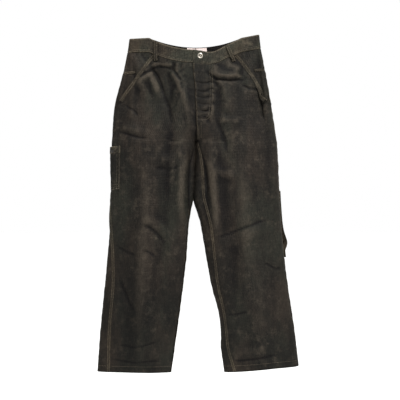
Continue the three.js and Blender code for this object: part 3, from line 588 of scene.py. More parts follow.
def tone_at(points):
    x, z = points[..., 0] * 1000, points[..., 2] * 1000
    return 1 + sum(s * bell(x, at, wide) * bell(z, high, tall) for at, high, wide, tall, s in TONE_PATCHES)


def mark(mesh, name, values):
    """Stores one value a corner, which the material reads."""
    mesh.attributes.new(name, "FLOAT", "POINT").data.foreach_set("value", np.asarray(values, np.float32))


def cut_cloth(name, place, flat, low, high, material=canvas_body, slot="waxed_canvas", cell=4.5, edge=0.0):
    """A closed piece of cloth over the surface that place(a, d) gives for shares across and down, between two
    lifts in millimetres. flat is its cut width and length. edge is how far its rounded border reaches in."""
    steps = [max(2, int(round(size / cell))) for size in flat]
    shares = []
    for count, size in zip(steps, flat):
        line = np.linspace(0, 1, count + 1)
        if edge:
            line = np.sort(np.concatenate([line, [edge / size, 1 - edge / size]]))
        shares.append(line)
    a, d = np.meshgrid(*shares)
    points, out, relief, unfolded = place(a, d)
    lifts = [lift(a, d) if callable(lift) else lift for lift in (low, high)]
    lifts = [np.broadcast_to(lift, a.shape).astype(float) for lift in lifts]
    top = lifts[1].copy()
    border = np.zeros(a.shape, bool)
    border[[0, -1]] = border[:, [0, -1]] = True
    if edge:
        top[border] -= 0.6 * (lifts[1] - lifts[0])[border]
    outer, inner = points + out * top[..., None] / 1000, points + out * lifts[0][..., None] / 1000
    smooth = out
    if callable(high) or edge:
        smooth = unit(np.cross(np.gradient(outer, axis=1), np.gradient(outer, axis=0)))
        smooth *= np.sign((smooth * out).sum(-1, keepdims=True))
    tall, wide = a.shape
    index = np.arange(tall * wide).reshape(tall, wide)
    face = np.stack([index[:-1, :-1], index[1:, :-1], index[1:, 1:], index[:-1, 1:]], -1).reshape(-1, 4)
    loop = np.concatenate([index[0], index[1:, -1], index[-1, -2::-1], index[-2:0:-1, 0]])
    after = np.roll(loop, -1)
    below = tall * wide
    rim = np.stack([loop, after, after + below, loop + below], -1)
    corners = np.concatenate([outer.reshape(-1, 3), inner.reshape(-1, 3)])
    middle = (tall // 2) * wide + wide // 2
    quad = corners[[middle, middle + wide, middle + wide + 1]]
    if np.dot(np.cross(quad[1] - quad[0], quad[2] - quad[1]), out.reshape(-1, 3)[middle]) < 0:
        face, rim = face[:, ::-1], rim[:, ::-1]
    faces = np.concatenate([face, face[:, ::-1] + below, rim])
    mesh = bpy.data.meshes.new(name)
    mesh.from_pydata(corners.tolist(), [], faces.tolist())
    mesh.shade_smooth()
    rim_corners = corners[rim]
    rim_out = unit(np.cross(rim_corners[:, 1] - rim_corners[:, 0], rim_corners[:, 3] - rim_corners[:, 0]))
    upward = smooth.reshape(-1, 3)
    if edge:
        rim_out = 0.7 * rim_out + 0.3 * upward[rim[:, 0] % below]
    both_faces = [upward[face].reshape(-1, 3), -upward[face[:, ::-1]].reshape(-1, 3)]
    mesh.normals_split_custom_set(np.concatenate([*both_faces, np.repeat(rim_out, 4, 0)]).tolist())
    # The worn value mixes the relief's painted shade in creases and painted highlight on ridges with real
    # rubbing along a rounded border.
    rubbed = relief
    if edge:
        near = np.minimum(np.minimum(a, 1 - a) * flat[0], np.minimum(d, 1 - d) * flat[1])
        rubbed = relief + 0.42 * np.exp(-near / 3.2)
    mark(mesh, "worn", np.tile(np.clip(rubbed, 0, 1).ravel(), 2))
    mark(mesh, "tone", np.tile(tone_at(unfolded).ravel(), 2))
    uv = np.stack([a * flat[0], d * flat[1]], -1).reshape(-1, 2) / 1000
    layer = mesh.uv_layers.new(name="cloth")
    layer.data.foreach_set("uv", np.tile(uv, (2, 1))[faces.ravel()].astype(np.float32).ravel())
    mesh.materials.append(material)
    piece = placed(name, mesh)
    size = [s / 1000 for s in flat]
    return piece


def bends(piece, part):
    """The seat's cloth rides on the root, and a leg's cloth is baked in place."""
    if part == "seat":
        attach(piece, "root")
    elif part == "upper":
        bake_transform(piece)
    else:
        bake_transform(piece)
    return piece


# The legs' cloth: a front and a back of one layer of duck for each leg, cut from the band or the yoke down to
# the hem. Each is drawn in two stretches that meet at mid thigh with no seam. The left pocket's mouth hangs
# open and the right one lies nearly flat.
CLOTH, MID_THIGH = 2.0, 513
GAPE, GAPE_AT, GAPE_REACH = {RIGHT: 1.2, LEFT: 9.0}, 176, 34
pocket_line = lambda drop: 130 + (242 - 130) * (drop - BAND) / (HIP - BAND)
yoke_seam = lambda a: BAND + 34 + (66 - 34) * a**1.3
gaping = lambda side, drop: GAPE[side] * bell(drop, GAPE_AT, GAPE_REACH)


def worth(thing, at):
    return thing(at) if callable(thing) else thing


def strip_of(side, left, right, top, bottom):
    """The place function between two turns and two drops, each a number or a function. Given one share alone,
    it runs along the diagonal, which makes a line."""

    def place(a, d=None):
        high, low = worth(top, a), worth(bottom, a)
        drop = high + (low - high) * (a if d is None else d)
        first, last = worth(left, drop), worth(right, drop)
        return on_cloth(side, first + (last - first) * a, drop)

    return place


def face_patch(x, wide, drop, long, back=False):
    """The same on the front or the back, from a corner through a width and a length in millimetres."""

    def place(a, d=None):
        at = drop + long * (a if d is None else d)
        return on_face(worth(x, at) + worth(wide, at) * a, at, back)

    return place


for name, side in SIDES.items():

    def opening(drop):
        above = np.minimum(drop, HIP)
        below_it = (drop > HIP) * (1 - turn_at(side, pocket_line(HIP), HIP))
        return turn_at(side, pocket_line(above), above) + below_it

    mouth = lambda a, d: CLOTH + gaping(side, BAND + d * (MID_THIGH - BAND)) * bell(a, 1, 0.10)
    under = lambda a, d: mouth(a, d) - CLOTH
    for panel, edges, flat, part, nodes in (
        ("front_canvas_upper", (0, opening, BAND, MID_THIGH), (256, 471), "upper", "front_rise front_thigh"),
        ("front_canvas_lower", (0, 1, MID_THIGH, HEM), (257, 522), "lower", "front_shin"),
        ("yoke_canvas", (1, 2, BAND, yoke_seam), (226, 66), "seat", "back_yoke"),
        ("back_canvas_upper", (1, 2, yoke_seam, MID_THIGH), (262, 437), "upper", "back_rise back_thigh"),
        ("back_canvas_lower", (1, 2, MID_THIGH, HEM), (260, 522), "lower", "back_shin"),
    ):
        low, high = (under, mouth) if opening in edges else (0, CLOTH)
        piece = cut_cloth(f"{name}_{panel}", strip_of(side, *edges), flat, low, high)
        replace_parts(bends(piece, part), *(f"{name}_{node_name}" for node_name in nodes.split()))


# The waistband: a doubled strip of duck folded over at the top, sewn down to the body with twin rows. Its two
# ends meet at the centre front, where the left end laps over the right one and carries the buttonhole. The
# duck's inside face keeps its wax, so it looks near black and unrubbed.
lining = waxed_canvas("waxed cotton duck, inside face", "#0a0908", "#14110f", "#12130f", "#241f1a", rub_and_highlight=0.3)
BAND_LIFT = 3.3
swell = lambda a, d: BAND_LIFT + 0.5 * np.sin(np.pi * d) - 0.5 * (d > 0.999)
for name, side in SIDES.items():
    place = strip_of(side, 0, 2, 0.0, BAND + 1.5)
    band = cut_cloth(f"{name}_waistband_canvas", place, (415, 43.5), 0.2, swell, canvas_double, edge=1.4)
    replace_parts(bends(band, "seat"), f"{name}_waistband")
    place, inner = strip_of(side, 0, 2, 0.6, BAND), f"{name}_waistband_inner_canvas"
    facing = cut_cloth(inner, place, (412, 41), -2.1, -0.3, lining, "lining_canvas", edge=0.8)
    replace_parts(bends(facing, "seat"), f"{name}_waistband_facing")


# The button fly: the left front's doubled edge laps over the right front and hides four buttons; behind it lie
# the buttonhole facing and, on the right front, the shield that carries the buttons.
FLY_END = CROTCH - 8
free_edge = profile((0, -9), (70, -8), (130, -3), (190, -1), (250, 3), (FLY_END, 8))
fly_width = profile((BAND, 59), (150, 57), (210, 54), (236, 50), (250, 36), (262, 18), (FLY_END, 7))
BUTTONS_AT, CREASES_AT = (72, 110, 148, 186), (116, 150, 173, 197, 219, 246)


def fly_lift(a, d):
    """The flap bulges over each button and creases between them."""
    drop = BAND + (FLY_END - BAND) * d
    over = sum(bell(drop, at, 7) for at in BUTTONS_AT)
    creases = sum(bell(drop, at + 6 * np.sin(3 * a), 3) for at in CREASES_AT)
    return CLOTH + 0.1 + (1 - ease(a, 0.05, 1)) * (3.4 + 1.0 * over) - 2.0 * creases * np.sin(np.pi * a**0.8)


flap_place = face_patch(free_edge, fly_width, BAND + 1.8, FLY_END - BAND - 1.8)
flap_under = lambda a, d: np.minimum(CLOTH + 0.1, fly_lift(a, d) - 0.6)
flap = cut_cloth("fly_flap_canvas", flap_place, (59, 270), flap_under, fly_lift, cell=2.5, edge=1.0)
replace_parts(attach(flap, "root"), "fly_facing")
lap_place = face_patch(-9, 42, 1.0, BAND + 1)
lap_lift = lambda a, d: BAND_LIFT + 0.5 * np.sin(np.pi * d) + 1.5 * (1 - ease(a, 0.1, 1))
lap = cut_cloth("waistband_lap_canvas", lap_place, (42, 43), BAND_LIFT - 0.2, lap_lift, canvas_double, cell=2.5)
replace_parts(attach(lap, "root"), "button_tab")
shield_place = face_patch(-24, 62, BAND + 5, 172)
shield = cut_cloth("fly_shield_canvas", shield_place, (62, 172), -9.4, -7.8, lining, "lining_canvas")
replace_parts(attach(shield, "root"), "fly_shield")


# The front pockets: a slanted opening in the front, backed at the side by a facing of duck that shows above it,
# and a bag of thin cotton behind, paler and duller as it has no wax. A coin pocket is sewn to the right facing.
twill = {"rub_and_highlight": 0.2, "rough": 0.8}
pocketing = waxed_canvas("cotton pocketing twill", "#2e2a23", "#443f36", "#403c34", "#575145", **twill)
facing_lift = lambda a, d: -0.25 + 1.9 * ease(a, 0.35, 0.75) * (1 - ease(d, 0.6, 0.8))
bag_low = lambda a, d: -3.4 - 6.5 * np.sin(np.pi * np.clip(a, 0, 1)) ** 0.7
bag_high = lambda a, d: bag_low(a, d) + 1
for name, side in SIDES.items():
    place = strip_of(side, lambda drop: turn_at(side, pocket_line(drop) - 26, drop), 1, BAND, 232)
    facing = cut_cloth(f"{name}_pocket_facing_canvas", place, (90, 190), -1.9, facing_lift, cell=3.5)
    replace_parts(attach(facing, "root"), f"{name}_pocket_facing")
    place = strip_of(side, lambda drop: turn_at(side, 84, drop), 0.985, BAND + 4, 292)
    bag_name = f"{name}_pocket_bag_cotton"
    bag = cut_cloth(bag_name, place, (150, 250), bag_low, bag_high, pocketing, "pocketing", cell=8)
    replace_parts(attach(bag, "root"), f"{name}_pocket_bag")
coin = cut_cloth("coin_pocket_canvas", face_patch(-178, -52, 108, 60), (56, 60), -3.7, -2.1)
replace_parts(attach(coin, "root"), "coin_pocket")


# Two patch pockets on the seat, of one layer of duck with a turned top hem and a shallow point below, sewn down
# along both sides and the foot. Their mouths stand a little open.
pocket_foot = lambda a: 252 + 16 * (1 - np.abs(2 * a - 1))
patch_lift = lambda a, d: CLOTH + 1.9 + 3.5 * np.sin(np.pi * a) ** 2 * (1 - ease(d, 0.0, 0.8))
for name, side in SIDES.items():
    place = lambda a, d: on_face(side * (46 + 150 * a), 128 + (pocket_foot(a) - 128) * d, back=True)
    double = {"material": canvas_double, "cell": 3.5, "edge": 1.3}
    patch = cut_cloth(f"{name}_back_pocket_canvas", place, (150, 140), CLOTH + 0.1, patch_lift, **double)
    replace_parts(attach(patch, "root"), f"{name}_back_pocket")


# Felled seams and topstitching: where two panels join, one edge is lapped over the other and sewn with twin
# rows of heavy waxed thread, paler and glossier than the duck. Laps are low strips on the cloth, and stitches
# are single short grains of thread, drawn about half as coarse again as the real ones so that they show.
thread = waxed_canvas("waxed thread", "#443d32", "#5b5245", "#554e42", "#7b7161", rub_and_highlight=0.5, rough=0.5)
STITCH_LENGTH, STITCH_PITCH, THREAD_WIDTH = 3.1, 4.2, 1.05

bpy.ops.object.select_all(action="DESELECT")
bpy.ops.mesh.primitive_uv_sphere_add(segments=6, ring_count=4, radius=0.5)
grain = bpy.context.object
bpy.ops.object.mode_set(mode="EDIT")
bpy.ops.mesh.select_all(action="SELECT")
bpy.ops.transform.rotate(value=np.pi / 2, orient_axis="Y", center_override=(0, 0, 0))
bpy.ops.transform.resize(value=(STITCH_LENGTH, THREAD_WIDTH, THREAD_WIDTH * 0.8), center_override=(0, 0, 0))
bpy.ops.object.mode_set(mode="OBJECT")
GRAIN = np.array([v.co for v in grain.data.vertices])
GRAIN_FACES = [list(face.vertices) for face in grain.data.polygons]
bpy.data.objects.remove(grain)


def course(place, step=3.0, count=400):
    """A line on the cloth every step millimetres: points, normals and the directions along and across it."""
    points, out, _, _ = place(np.linspace(0, 1, count))
    run = run_of(points)
    at = np.linspace(0, run[-1], max(3, int(round(run[-1] * 1000 / step)) + 1))
    even = lambda line: np.stack([np.interp(at, run, line[:, k]) for k in range(3)], -1)
    points, out = even(points), even(out)
    way = unit(np.gradient(points, axis=0))
    out = unit(out - (out * way).sum(1, keepdims=True) * way)
    return points, out, way, np.cross(out, way)


def new_piece(name, corners, faces, material, angle=0.6, rubbed=0.62):
    mesh = bpy.data.meshes.new(name)
    mesh.from_pydata(corners.tolist(), [], faces)
    mark(mesh, "worn", np.full(len(corners), rubbed))
    mark(mesh, "tone", tone_at(corners))
    mesh.uv_layers.new(name="cloth")
    mesh.materials.append(material)
    piece = placed(name, mesh)
    bpy.ops.object.select_all(action="DESELECT")
    piece.select_set(True)
    bpy.context.view_layer.objects.active = piece
    bpy.ops.object.mode_set(mode="EDIT")
    bpy.ops.mesh.select_all(action="SELECT")
    bpy.ops.mesh.normals_make_consistent(inside=False)
    bpy.ops.object.mode_set(mode="OBJECT")
    bpy.ops.object.shade_smooth_by_angle(angle=angle)
    return piece


def sew(name, rows):
    """One piece holding rows of stitches. A row is (place, shift across in mm, lift in mm)."""
    corners, faces = [], []
    for place, shift, lift in rows:
        points, out, way, across = course(place, STITCH_PITCH)
        centres = (points[:-1] + points[1:]) / 2 + (across * shift + out * lift)[:-1] / 1000
        basis = np.stack([way[:-1], across[:-1], out[:-1]], 1)
        for k in range(len(centres)):
            first = len(corners) * len(GRAIN)
            corners.append(centres[k] + GRAIN @ basis[k] / 1000)
            faces += [[first + i for i in face] for face in GRAIN_FACES]
    return new_piece(name, np.concatenate(corners), faces, thread, angle=1.2)


def tape(name, place, width, low, high, shift=0.0, bow=None, step=3.0, rubbed=0.62):
    """A flat strip with turned edges along a line on the cloth, between two lifts in millimetres."""
    points, out, way, across = course(place, step)
    share = np.linspace(0, 1, len(points))
    rise = bow(share) if bow else np.zeros(len(points))
    half, thick = width / 2, high - low
    shoulder, turned = low + 0.55 * thick, half - 0.45 * thick
    ring_of = [(-half, low), (-half, shoulder), (-turned, high), (0, high + 0.08 * thick)]
    ring_of += [(turned, high), (half, shoulder), (half, low), (0, low)]
    sections = [across * (shift + aside) + out * (lift + rise)[:, None] for aside, lift in ring_of]
    corners = np.stack([points + section / 1000 for section in sections], 1).reshape(-1, 3)
    many, around = len(points), len(ring_of)
    faces = []
    for i in range(many - 1):
        for k in range(around):
            now, beside = i * around + k, i * around + (k + 1) % around
            faces.append([now, beside, beside + around, now + around])
    faces += [list(range(around))[::-1], [(many - 1) * around + k for k in range(around)]]
    return new_piece(name, corners, faces, canvas_double, rubbed=rubbed)


def twin(place, shifts, lift):
    """Rows of stitches beside one line, at shifts across it in millimetres and one lift."""
    return [(place, shift, lift) for shift in shifts]


# The cloth has twisted as it hangs: below the right knee the outseam has rolled to the front, and so has all of
# the left inseam.
OUTSEAM = {
    RIGHT: profile((BAND, 1), (420, 1), (MID_THIGH, 0.96), (620, 0.86), (744, 0.785), (902, 0.77), (HEM, 0.74)),
    LEFT: profile((BAND, 0.99), (240, 0.97), (MID_THIGH, 0.985), (HEM, 1)),
}
INSEAM = {
    RIGHT: profile((CROTCH, 0), (HEM, 0)),
    LEFT: profile(
        (CROTCH, 0.06), (366, 0.14), (471, 0.2), (561, 0.22),
        (657, 0.19), (806, 0.155), (918, 0.15), (HEM, 0.22),
    ),
}
for name, side in SIDES.items():
    for seam, turns, top, width, shifts, high in (
        ("outseam", OUTSEAM[side], BAND + 2, 10.5, (1.9, 8.2), CLOTH + 0.75),
        ("inseam", INSEAM[side], CROTCH + 4, 9.5, (1.7, 7.4), CLOTH + 0.7),
    ):
        for part, first, last in (("upper", top, MID_THIGH), ("lower", MID_THIGH, HEM - 1)):
            line = strip_of(side, turns, turns, first, last)
            shift = (width / 2 - 0.25) * side
            bends(tape(f"{name}_{seam}_lap_{part}", line, width, CLOTH - 0.2, high, shift=shift), part)
            rows = twin(line, [at * side for at in shifts], high + 0.2)
            bends(sew(f"{name}_{seam}_stitches_{part}", rows), part)
    yoke_line = strip_of(side, 1, 2, yoke_seam, yoke_seam)
    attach(tape(f"{name}_yoke_lap", yoke_line, 9.5, CLOTH - 0.2, CLOTH + 0.8, shift=4 * side), "root")
    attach(sew(f"{name}_yoke_stitches", twin(yoke_line, (0.8 * side, 7.2 * side), CLOTH + 1.0)), "root")
seat_line = face_patch(0, 0, BAND + 2, FLY_END - BAND, back=True)
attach(tape("seat_seam_lap", seat_line, 9.5, CLOTH - 0.2, CLOTH + 0.8, shift=3), "root")
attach(sew("seat_seam_stitches", twin(seat_line, (0, 6.2), CLOTH + 1.0)), "root")


# The band's stitching, in the same heavy thread: twin rows along its lower edge hold it to the body, and one
# row runs under the fold at its top.
for name, side in SIDES.items():
    rows = [(strip_of(side, 0.002, 1.998, at, at), 0, BAND_LIFT + 0.45) for at in (3.4, BAND - 6.2, BAND - 1.6)]
    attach(sew(f"{name}_waistband_stitches", rows), "root")


# The fly's topstitching: a twin row straight down the left front that turns in a J to the foot of the fly, one
# row along the flap's free edge with the edge's own fold, and the crotch seam's twin row below.
J_LINE = [(51, 44), (51, 100), (51, 150), (50, 200), (48, 234), (42, 247), (31, 253), (19, 256)]
J_TOWARD = [(-1.0, 0)] * 4 + [(-0.95, -0.3), (-0.7, -0.7), (-0.3, -0.95), (-0.2, -1.0)]


def j_line(inset):
    """The place function of the J, moved towards the fly's edge by an inset in millimetres."""
    line = np.array(J_LINE, float)
    share = run_of(line) / run_of(line)[-1]
    line += np.array(J_TOWARD) * inset
    return lambda s: on_face(np.interp(s, share, line[:, 0]), np.interp(s, share, line[:, 1]))


edge_row = face_patch(lambda drop: free_edge(drop) + 3.2, 0, BAND + 4, 264)
fly_rows = [(j_line(0.5), 0, CLOTH + 0.6), (j_line(7.5), 0, CLOTH + 0.9), (edge_row, 0, CLOTH + 3.6)]
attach(sew("fly_stitches", fly_rows), "root")
crotch_rows = [(face_patch(x, 3, 236, 74), 0, CLOTH + lift) for x, lift in ((9, 1.6), (15, 1.0))]
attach(sew("crotch_stitches", crotch_rows), "root")
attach(sew("waistband_lap_stitches", [(face_patch(-6.5, 0, 4, 36), 0, BAND_LIFT + 2.1)]), "root")
fly_edge = face_patch(lambda drop: free_edge(drop) + 0.9, 0, BAND + 3, 268)
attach(tape("fly_edge_fold", fly_edge, 2.4, CLOTH + 1.2, CLOTH + 4.1, rubbed=0.8), "root")


# The pocket mouths: the front's edge turned in and held by twin rows, and a lapped seam across the facing. The
# patch pockets behind are held by twin rows at each side and along the foot.
for name, side in SIDES.items():

    def mouth_line(inset, side=side):
        def place(s):
            drop = BAND + 3 + (HIP - 12 - BAND - 3) * s
            points, out, relief, flat = on_face(side * (pocket_line(drop) - inset), drop)
            raised = gaping(side, drop) * bell(inset, 0, 22)
            return points + out * raised[:, None] / 1000, out, relief, flat

        return place

    rows = [(mouth_line(inset), 0, CLOTH + 0.95) for inset in (3, 9.5)]
    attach(tape(f"{name}_pocket_mouth_lap", mouth_line(6.2), 12.5, CLOTH - 0.4, CLOTH + 0.75), "root")
    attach(sew(f"{name}_pocket_mouth_stitches", rows), "root")
    facing_seam = face_patch(side * 186, side * 36, 104, 2)
    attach(tape(f"{name}_facing_seam_lap", facing_seam, 8, 0.3, 2.3), "root")
    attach(sew(f"{name}_facing_seam_stitches", twin(facing_seam, (2.4, -2.4), 2.5)), "root")
    sides = [face_patch(side * x, 0, 130, 122, back=True) for x in (48.5, 54.5, 187.5, 193.5)]
    feet = [
        lambda s, up=up: on_face(side * (49 + 144 * s), pocket_foot(s) - up, back=True) for up in (3, 9)
    ]
    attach(sew(f"{name}_back_pocket_stitches", [(place, 0, CLOTH + 2.0) for place in sides + feet]), "root")


# Seven belt loops: folded strips of duck, sewn through the band at both ends and standing off it between them.
# The left front one has been pulled aslant.
LOOP_WIDTH, LOOP_TOP, LOOP_LONG, LOOP_STAND = 13, 1.5, 60.5, 2.6
stand = lambda s: LOOP_STAND * (ease(s, 0.04, 0.2) * (1 - ease(s, 0.8, 0.96)))
loops = [("centre_back_belt_loop", face_patch(0, 0, LOOP_TOP, LOOP_LONG, back=True))]
for name, side in SIDES.items():
    first, slant = (98, 20) if side == LEFT else (124, -3)
    beside = strip_of(side, 1.25, 1.25, LOOP_TOP, LOOP_TOP + LOOP_LONG)
    loops += [
        (f"{name}_front_belt_loop", face_patch(side * first, side * slant, LOOP_TOP, LOOP_LONG)),
        (f"{name}_side_belt_loop", beside),
        (f"{name}_back_belt_loop", face_patch(side * 72, 0, LOOP_TOP, LOOP_LONG, back=True)),
    ]
for name, place in loops:
    canvas_name = name.replace("belt_loop", "loop_canvas")
    loop = tape(canvas_name, place, LOOP_WIDTH, BAND_LIFT + 0.4, BAND_LIFT + 2.4, bow=stand)
    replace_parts(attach(loop, "root"), name)

    def raised(s):
        points, out, *rest = place(s)
        return points + out * stand(s)[:, None] / 1000, out, *rest

    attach(sew(name.replace("belt_loop", "loop_stitches"), twin(raised, (3.6, -3.6), BAND_LIFT + 2.6)), "root")


# The tool pocket over the right outseam: a long narrow patch with a doubled band at its top and a rivet at the
# band's front corner, sewn down at the sides with twin rows and across the foot with three.
TOOL_TURNS, TOOL_TOP, TOOL_SEAM, TOOL_FOOT, TOOL_BULGE = (0.8, 1.4), 332, 352, 467, 4.0
tool_bulge = lambda a: TOOL_BULGE * np.sin(np.pi * a) ** 1.2
tool_lift = lambda a, d: CLOTH + 1.8 + tool_bulge(a) * (1 - ease(d, 0.2, 0.95))
band_lift = lambda a, d: CLOTH + 2.6 + tool_bulge(a)
for node_name, top, foot, long, lift, material in (
    ("tool_pocket", TOOL_SEAM, TOOL_FOOT, 115, tool_lift, canvas_body),
    ("tool_pocket_band", TOOL_TOP, TOOL_SEAM + 2, 22, band_lift, canvas_double),
):
    place = strip_of(RIGHT, *TOOL_TURNS, top, foot)
    tool = cut_cloth(f"{node_name}_canvas", place, (150, long), CLOTH + 0.2, lift, material, cell=3, edge=1.2)
    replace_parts(bends(tool, "upper"), node_name)
tool_rows = [
    (strip_of(RIGHT, turn, turn, TOOL_TOP + 3, TOOL_FOOT - 3), 0, CLOTH + lift)
    for turn, lift in ((0.812, 2.2), (0.842, 2.9), (1.36, 2.9), (1.388, 2.2))
]
tool_rows += [(strip_of(RIGHT, 0.81, 1.39, at, at), 0, CLOTH + 2.2) for at in (450, 457, 463)]
bends(sew("tool_pocket_stitches", tool_rows), "upper")


# The hammer loop behind the left outseam: a doubled strap sewn flat at both ends, slack between them, so that
# it stands away from the leg near its lower end.
STRAP_TOP, STRAP_FOOT, STRAP_SEWN, STRAP_STAND, STRAP_TURN = 470, 686, 20, 20, 1.115
STRAP_LONG = STRAP_FOOT - STRAP_TOP


def hammer_bow(share):
    free = np.clip((STRAP_LONG * share - STRAP_SEWN) / (STRAP_LONG - 2 * STRAP_SEWN), 0, 1)
    return STRAP_STAND * np.sin(np.pi * free**4) ** 1.8


hammer_line = strip_of(LEFT, STRAP_TURN, STRAP_TURN, STRAP_TOP, STRAP_FOOT)
strap = tape("hammer_loop_canvas", hammer_line, 36, CLOTH + 0.5, CLOTH + 2.4, bow=hammer_bow)
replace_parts(bends(strap, "lower"), "hammer_loop")


# The hems: each leg's end is turned up inside and sewn with one row of the same thread, which leaves the edge
# slightly rolled.
for name, side in SIDES.items():
    place = strip_of(side, 0.004, 1.996, HEM - 24, HEM - 0.4)
    turned = cut_cloth(f"{name}_hem_canvas", place, (444, 24), -1.9, -0.3, lining)
    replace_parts(bends(turned, "lower"), f"{name}_hem_turn_up")
    hem_row, roll = (strip_of(side, 0.003, 1.997, HEM - up, HEM - up) for up in (19, 1.2))
    bends(sew(f"{name}_hem_stitches", [(hem_row, 0, CLOTH + 0.15)]), "lower")
    bends(tape(f"{name}_hem_roll", roll, 2.6, -0.6, CLOTH + 0.55, step=4), "lower")


# A blank woven label, a satin ribbon sewn inside the back of the band. It is the only pale, smooth cloth here,
# with a fine even weave and a soft gloss.
satin = {"rub_and_highlight": 0.2, "rough": 0.5, "thread": 1.2, "grainy": 0.2}
ribbon = waxed_canvas("woven ribbon", "#d3c2bc", "#decec8", "#dacbc4", "#e6d9d4", **satin)
place = face_patch(-28, 62, 2.5, 26, back=True)
label = cut_cloth("blank_label_ribbon", place, (64, 26), -3.2, -2.4, ribbon, "woven_label", cell=3)
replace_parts(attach(label, "root"), "woven_label")


# The buttons: hollow nickel-plated tack buttons with a rolled rim and a dished face, on riveted tacks. The
# plate is worn and yellowish. A ring in the dish is drawn darker: painted shade for the hollow, with tarnish
# where nothing rubs it. The pocket's rivet is blackened steel.
def metal(name, colour, rough, worn):
    """Plated or blackened metal, with fine scratches in its gloss and duller patches in its colour."""
    material, tree, surface = new_material(name)
    place = node(tree, "TexCoord").outputs["Object"]
    tarnish = ranged(tree, noise(tree, place, 160.0, 3.0), 0.4, 0.7, 0, 0.5)
    scratch = ranged(tree, noise(tree, place, 900.0, 4.0), 0.3, 0.7, rough - 0.06, rough + 0.12)
    tint = mixed(tree, tarnish, linear(colour), linear(worn))
    feed(tree, surface, {"Base Color": tint, "Roughness": scratch, "Metallic": 1.0})
    return material


nickel = metal("nickel plate", "#a39d92", 0.34, "#776f64")
painted_shade_and_tarnish = metal("nickel plate, tarnished in the dish", "#4c463e", 0.5, "#2d2924")
black_steel = metal("blackened steel", "#3c3a38", 0.42, "#26231f")


RIM_STEPS = ((0.2, 0.0010), (0.12, 0.0002), (0.10, -0.0008), (0.22, -0.0001), (0.08, 0.0006))
LEAN = 0.054


def middle_of(node_name):
    low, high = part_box(node_name)
    return (np.array(low) + np.array(high)) / 2


def button(name, node_name, radius, body):
    """A tack button that stands for a CAD cap, square to its cloth. Each rim step is a ring inwards, its width
    a share of the radius, and how far it rises."""
    centre = middle_of(node_name)
    bpy.ops.object.select_all(action="DESELECT")
    bpy.ops.mesh.primitive_cylinder_add(vertices=40, radius=radius, depth=0.0022)
    cap = bpy.context.object
    cap.name = cap.data.name = name
    bpy.ops.object.mode_set(mode="EDIT")
    bpy.ops.mesh.select_all(action="DESELECT")
    bpy.ops.object.mode_set(mode="OBJECT")
    for face in cap.data.polygons:
        face.select = face.normal.z > 0.9
    bpy.ops.object.mode_set(mode="EDIT")
    for share, rise in RIM_STEPS:
        bpy.ops.mesh.inset(thickness=radius * share, depth=rise)
    bpy.ops.mesh.select_all(action="SELECT")
    bpy.ops.transform.rotate(value=-np.pi / 2 - LEAN, orient_axis="X", center_override=(0, 0, 0))
    bpy.ops.transform.translate(value=tuple(centre))
    bpy.ops.object.mode_set(mode="OBJECT")
    bevel = cap.modifiers.new("soft", "BEVEL")
    bevel.width, bevel.segments, bevel.limit_method = 0.0004, 2, "ANGLE"
    bpy.ops.object.modifier_apply(modifier="soft")
    bpy.ops.object.shade_smooth_by_angle(angle=0.9)
    cap.data.materials.append(nickel)
    cap.data.materials.append(painted_shade_and_tarnish)
    # A ring inside the dish takes the darker plate: painted shade, with some tarnish.
    for face in cap.data.polygons:
        away = (np.array(face.center) - centre)[[0, 2]]
        face.material_index = int(0.2 * radius < np.hypot(*away) < 0.58 * radius)
    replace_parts(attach(cap, body), node_name)


button("waist_button", "waist_button_cap", 0.0085, "waist_button")
for k in (1, 2, 3, 4):
    button(f"fly_button_{k}_nickel", f"fly_button_cap_{k}", 0.0068, f"fly_button_{k}")
for node_name, node_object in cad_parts.items():
    if "tack" in node_name:
        node_object.data.materials.clear()
        node_object.data.materials.append(nickel)

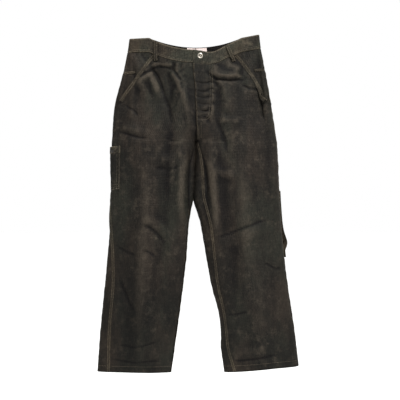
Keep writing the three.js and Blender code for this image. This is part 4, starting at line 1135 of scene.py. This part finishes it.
rivet_at = middle_of("tool_pocket_rivet") + np.array([0, -0.0008, 0])
bpy.ops.object.select_all(action="DESELECT")
bpy.ops.mesh.primitive_uv_sphere_add(segments=24, ring_count=12, radius=0.0046)
rivet = bpy.context.object
rivet.name = rivet.data.name = "tool_pocket_rivet_steel"
bpy.ops.object.mode_set(mode="EDIT")
bpy.ops.mesh.select_all(action="SELECT")
bpy.ops.transform.resize(value=(1, 0.34, 1), center_override=(0, 0, 0))
bpy.ops.transform.rotate(value=0.6, orient_axis="Z", center_override=(0, 0, 0))
bpy.ops.transform.translate(value=tuple(rivet_at))
bpy.ops.object.mode_set(mode="OBJECT")
bpy.ops.object.shade_smooth()
rivet.data.materials.append(black_steel)
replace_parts(bends(rivet, "upper"), "tool_pocket_rivet")


# The plain pale studio: a white floor well below the hems under a white sky, a soft light from above on one side
# and a weaker one on the other, and a long lens square to the front.
FLOOR_HEIGHT = -1.3
bpy.ops.object.select_all(action="DESELECT")
bpy.ops.mesh.primitive_plane_add(size=60)
floor = bpy.context.object
floor.name = "studio_floor"
bpy.ops.object.mode_set(mode="EDIT")
bpy.ops.mesh.select_all(action="SELECT")
bpy.ops.transform.translate(value=(0, 0, FLOOR_HEIGHT))
bpy.ops.object.mode_set(mode="OBJECT")
paper, paper_tree, paper_surface = new_material("matt white paper")
WHITE, FLOOR_GLOW = (1, 1, 1, 1), 0.12
paper_looks = {"Base Color": linear("#fbfbfa"), "Roughness": 0.9, "Emission Color": WHITE}
feed(paper_tree, paper_surface, {**paper_looks, "Emission Strength": FLOOR_GLOW})
floor.data.materials.append(paper)

scene = bpy.context.scene
scene.view_settings.view_transform = "Standard"
scene.world = scene.world or bpy.data.worlds.new("studio")
scene.world.use_nodes = True
feed(scene.world.node_tree, scene.world.node_tree.nodes["Background"], {"Color": WHITE, "Strength": 1.0})
MIDDLE = Vector((0.0124, 0, -0.502))
for name, place, size, power in (
    ("soft_key", (0.7, -1.5, 2.0), 0.9, 155),
    ("soft_fill", (2.2, -2.6, -0.2), 1.8, 16),
):
    lamp = bpy.data.lights.new(name, "AREA")
    lamp.size, lamp.energy = size, power
    light = placed(name, lamp)
    light.location = place
    light.rotation_euler = (MIDDLE - Vector(place)).to_track_quat("-Z", "Y").to_euler()

lens = bpy.data.cameras.new("camera")
camera = placed("camera", lens)
DISTANCE, SPAN = 4.5, 1.24
lens.sensor_width, lens.lens = 36, 36 * DISTANCE / SPAN
camera.location = MIDDLE + Vector((0, -DISTANCE, 0))
camera.rotation_euler = (np.pi / 2, 0, 0)
scene.camera = camera

bpy.context.view_layer.update()
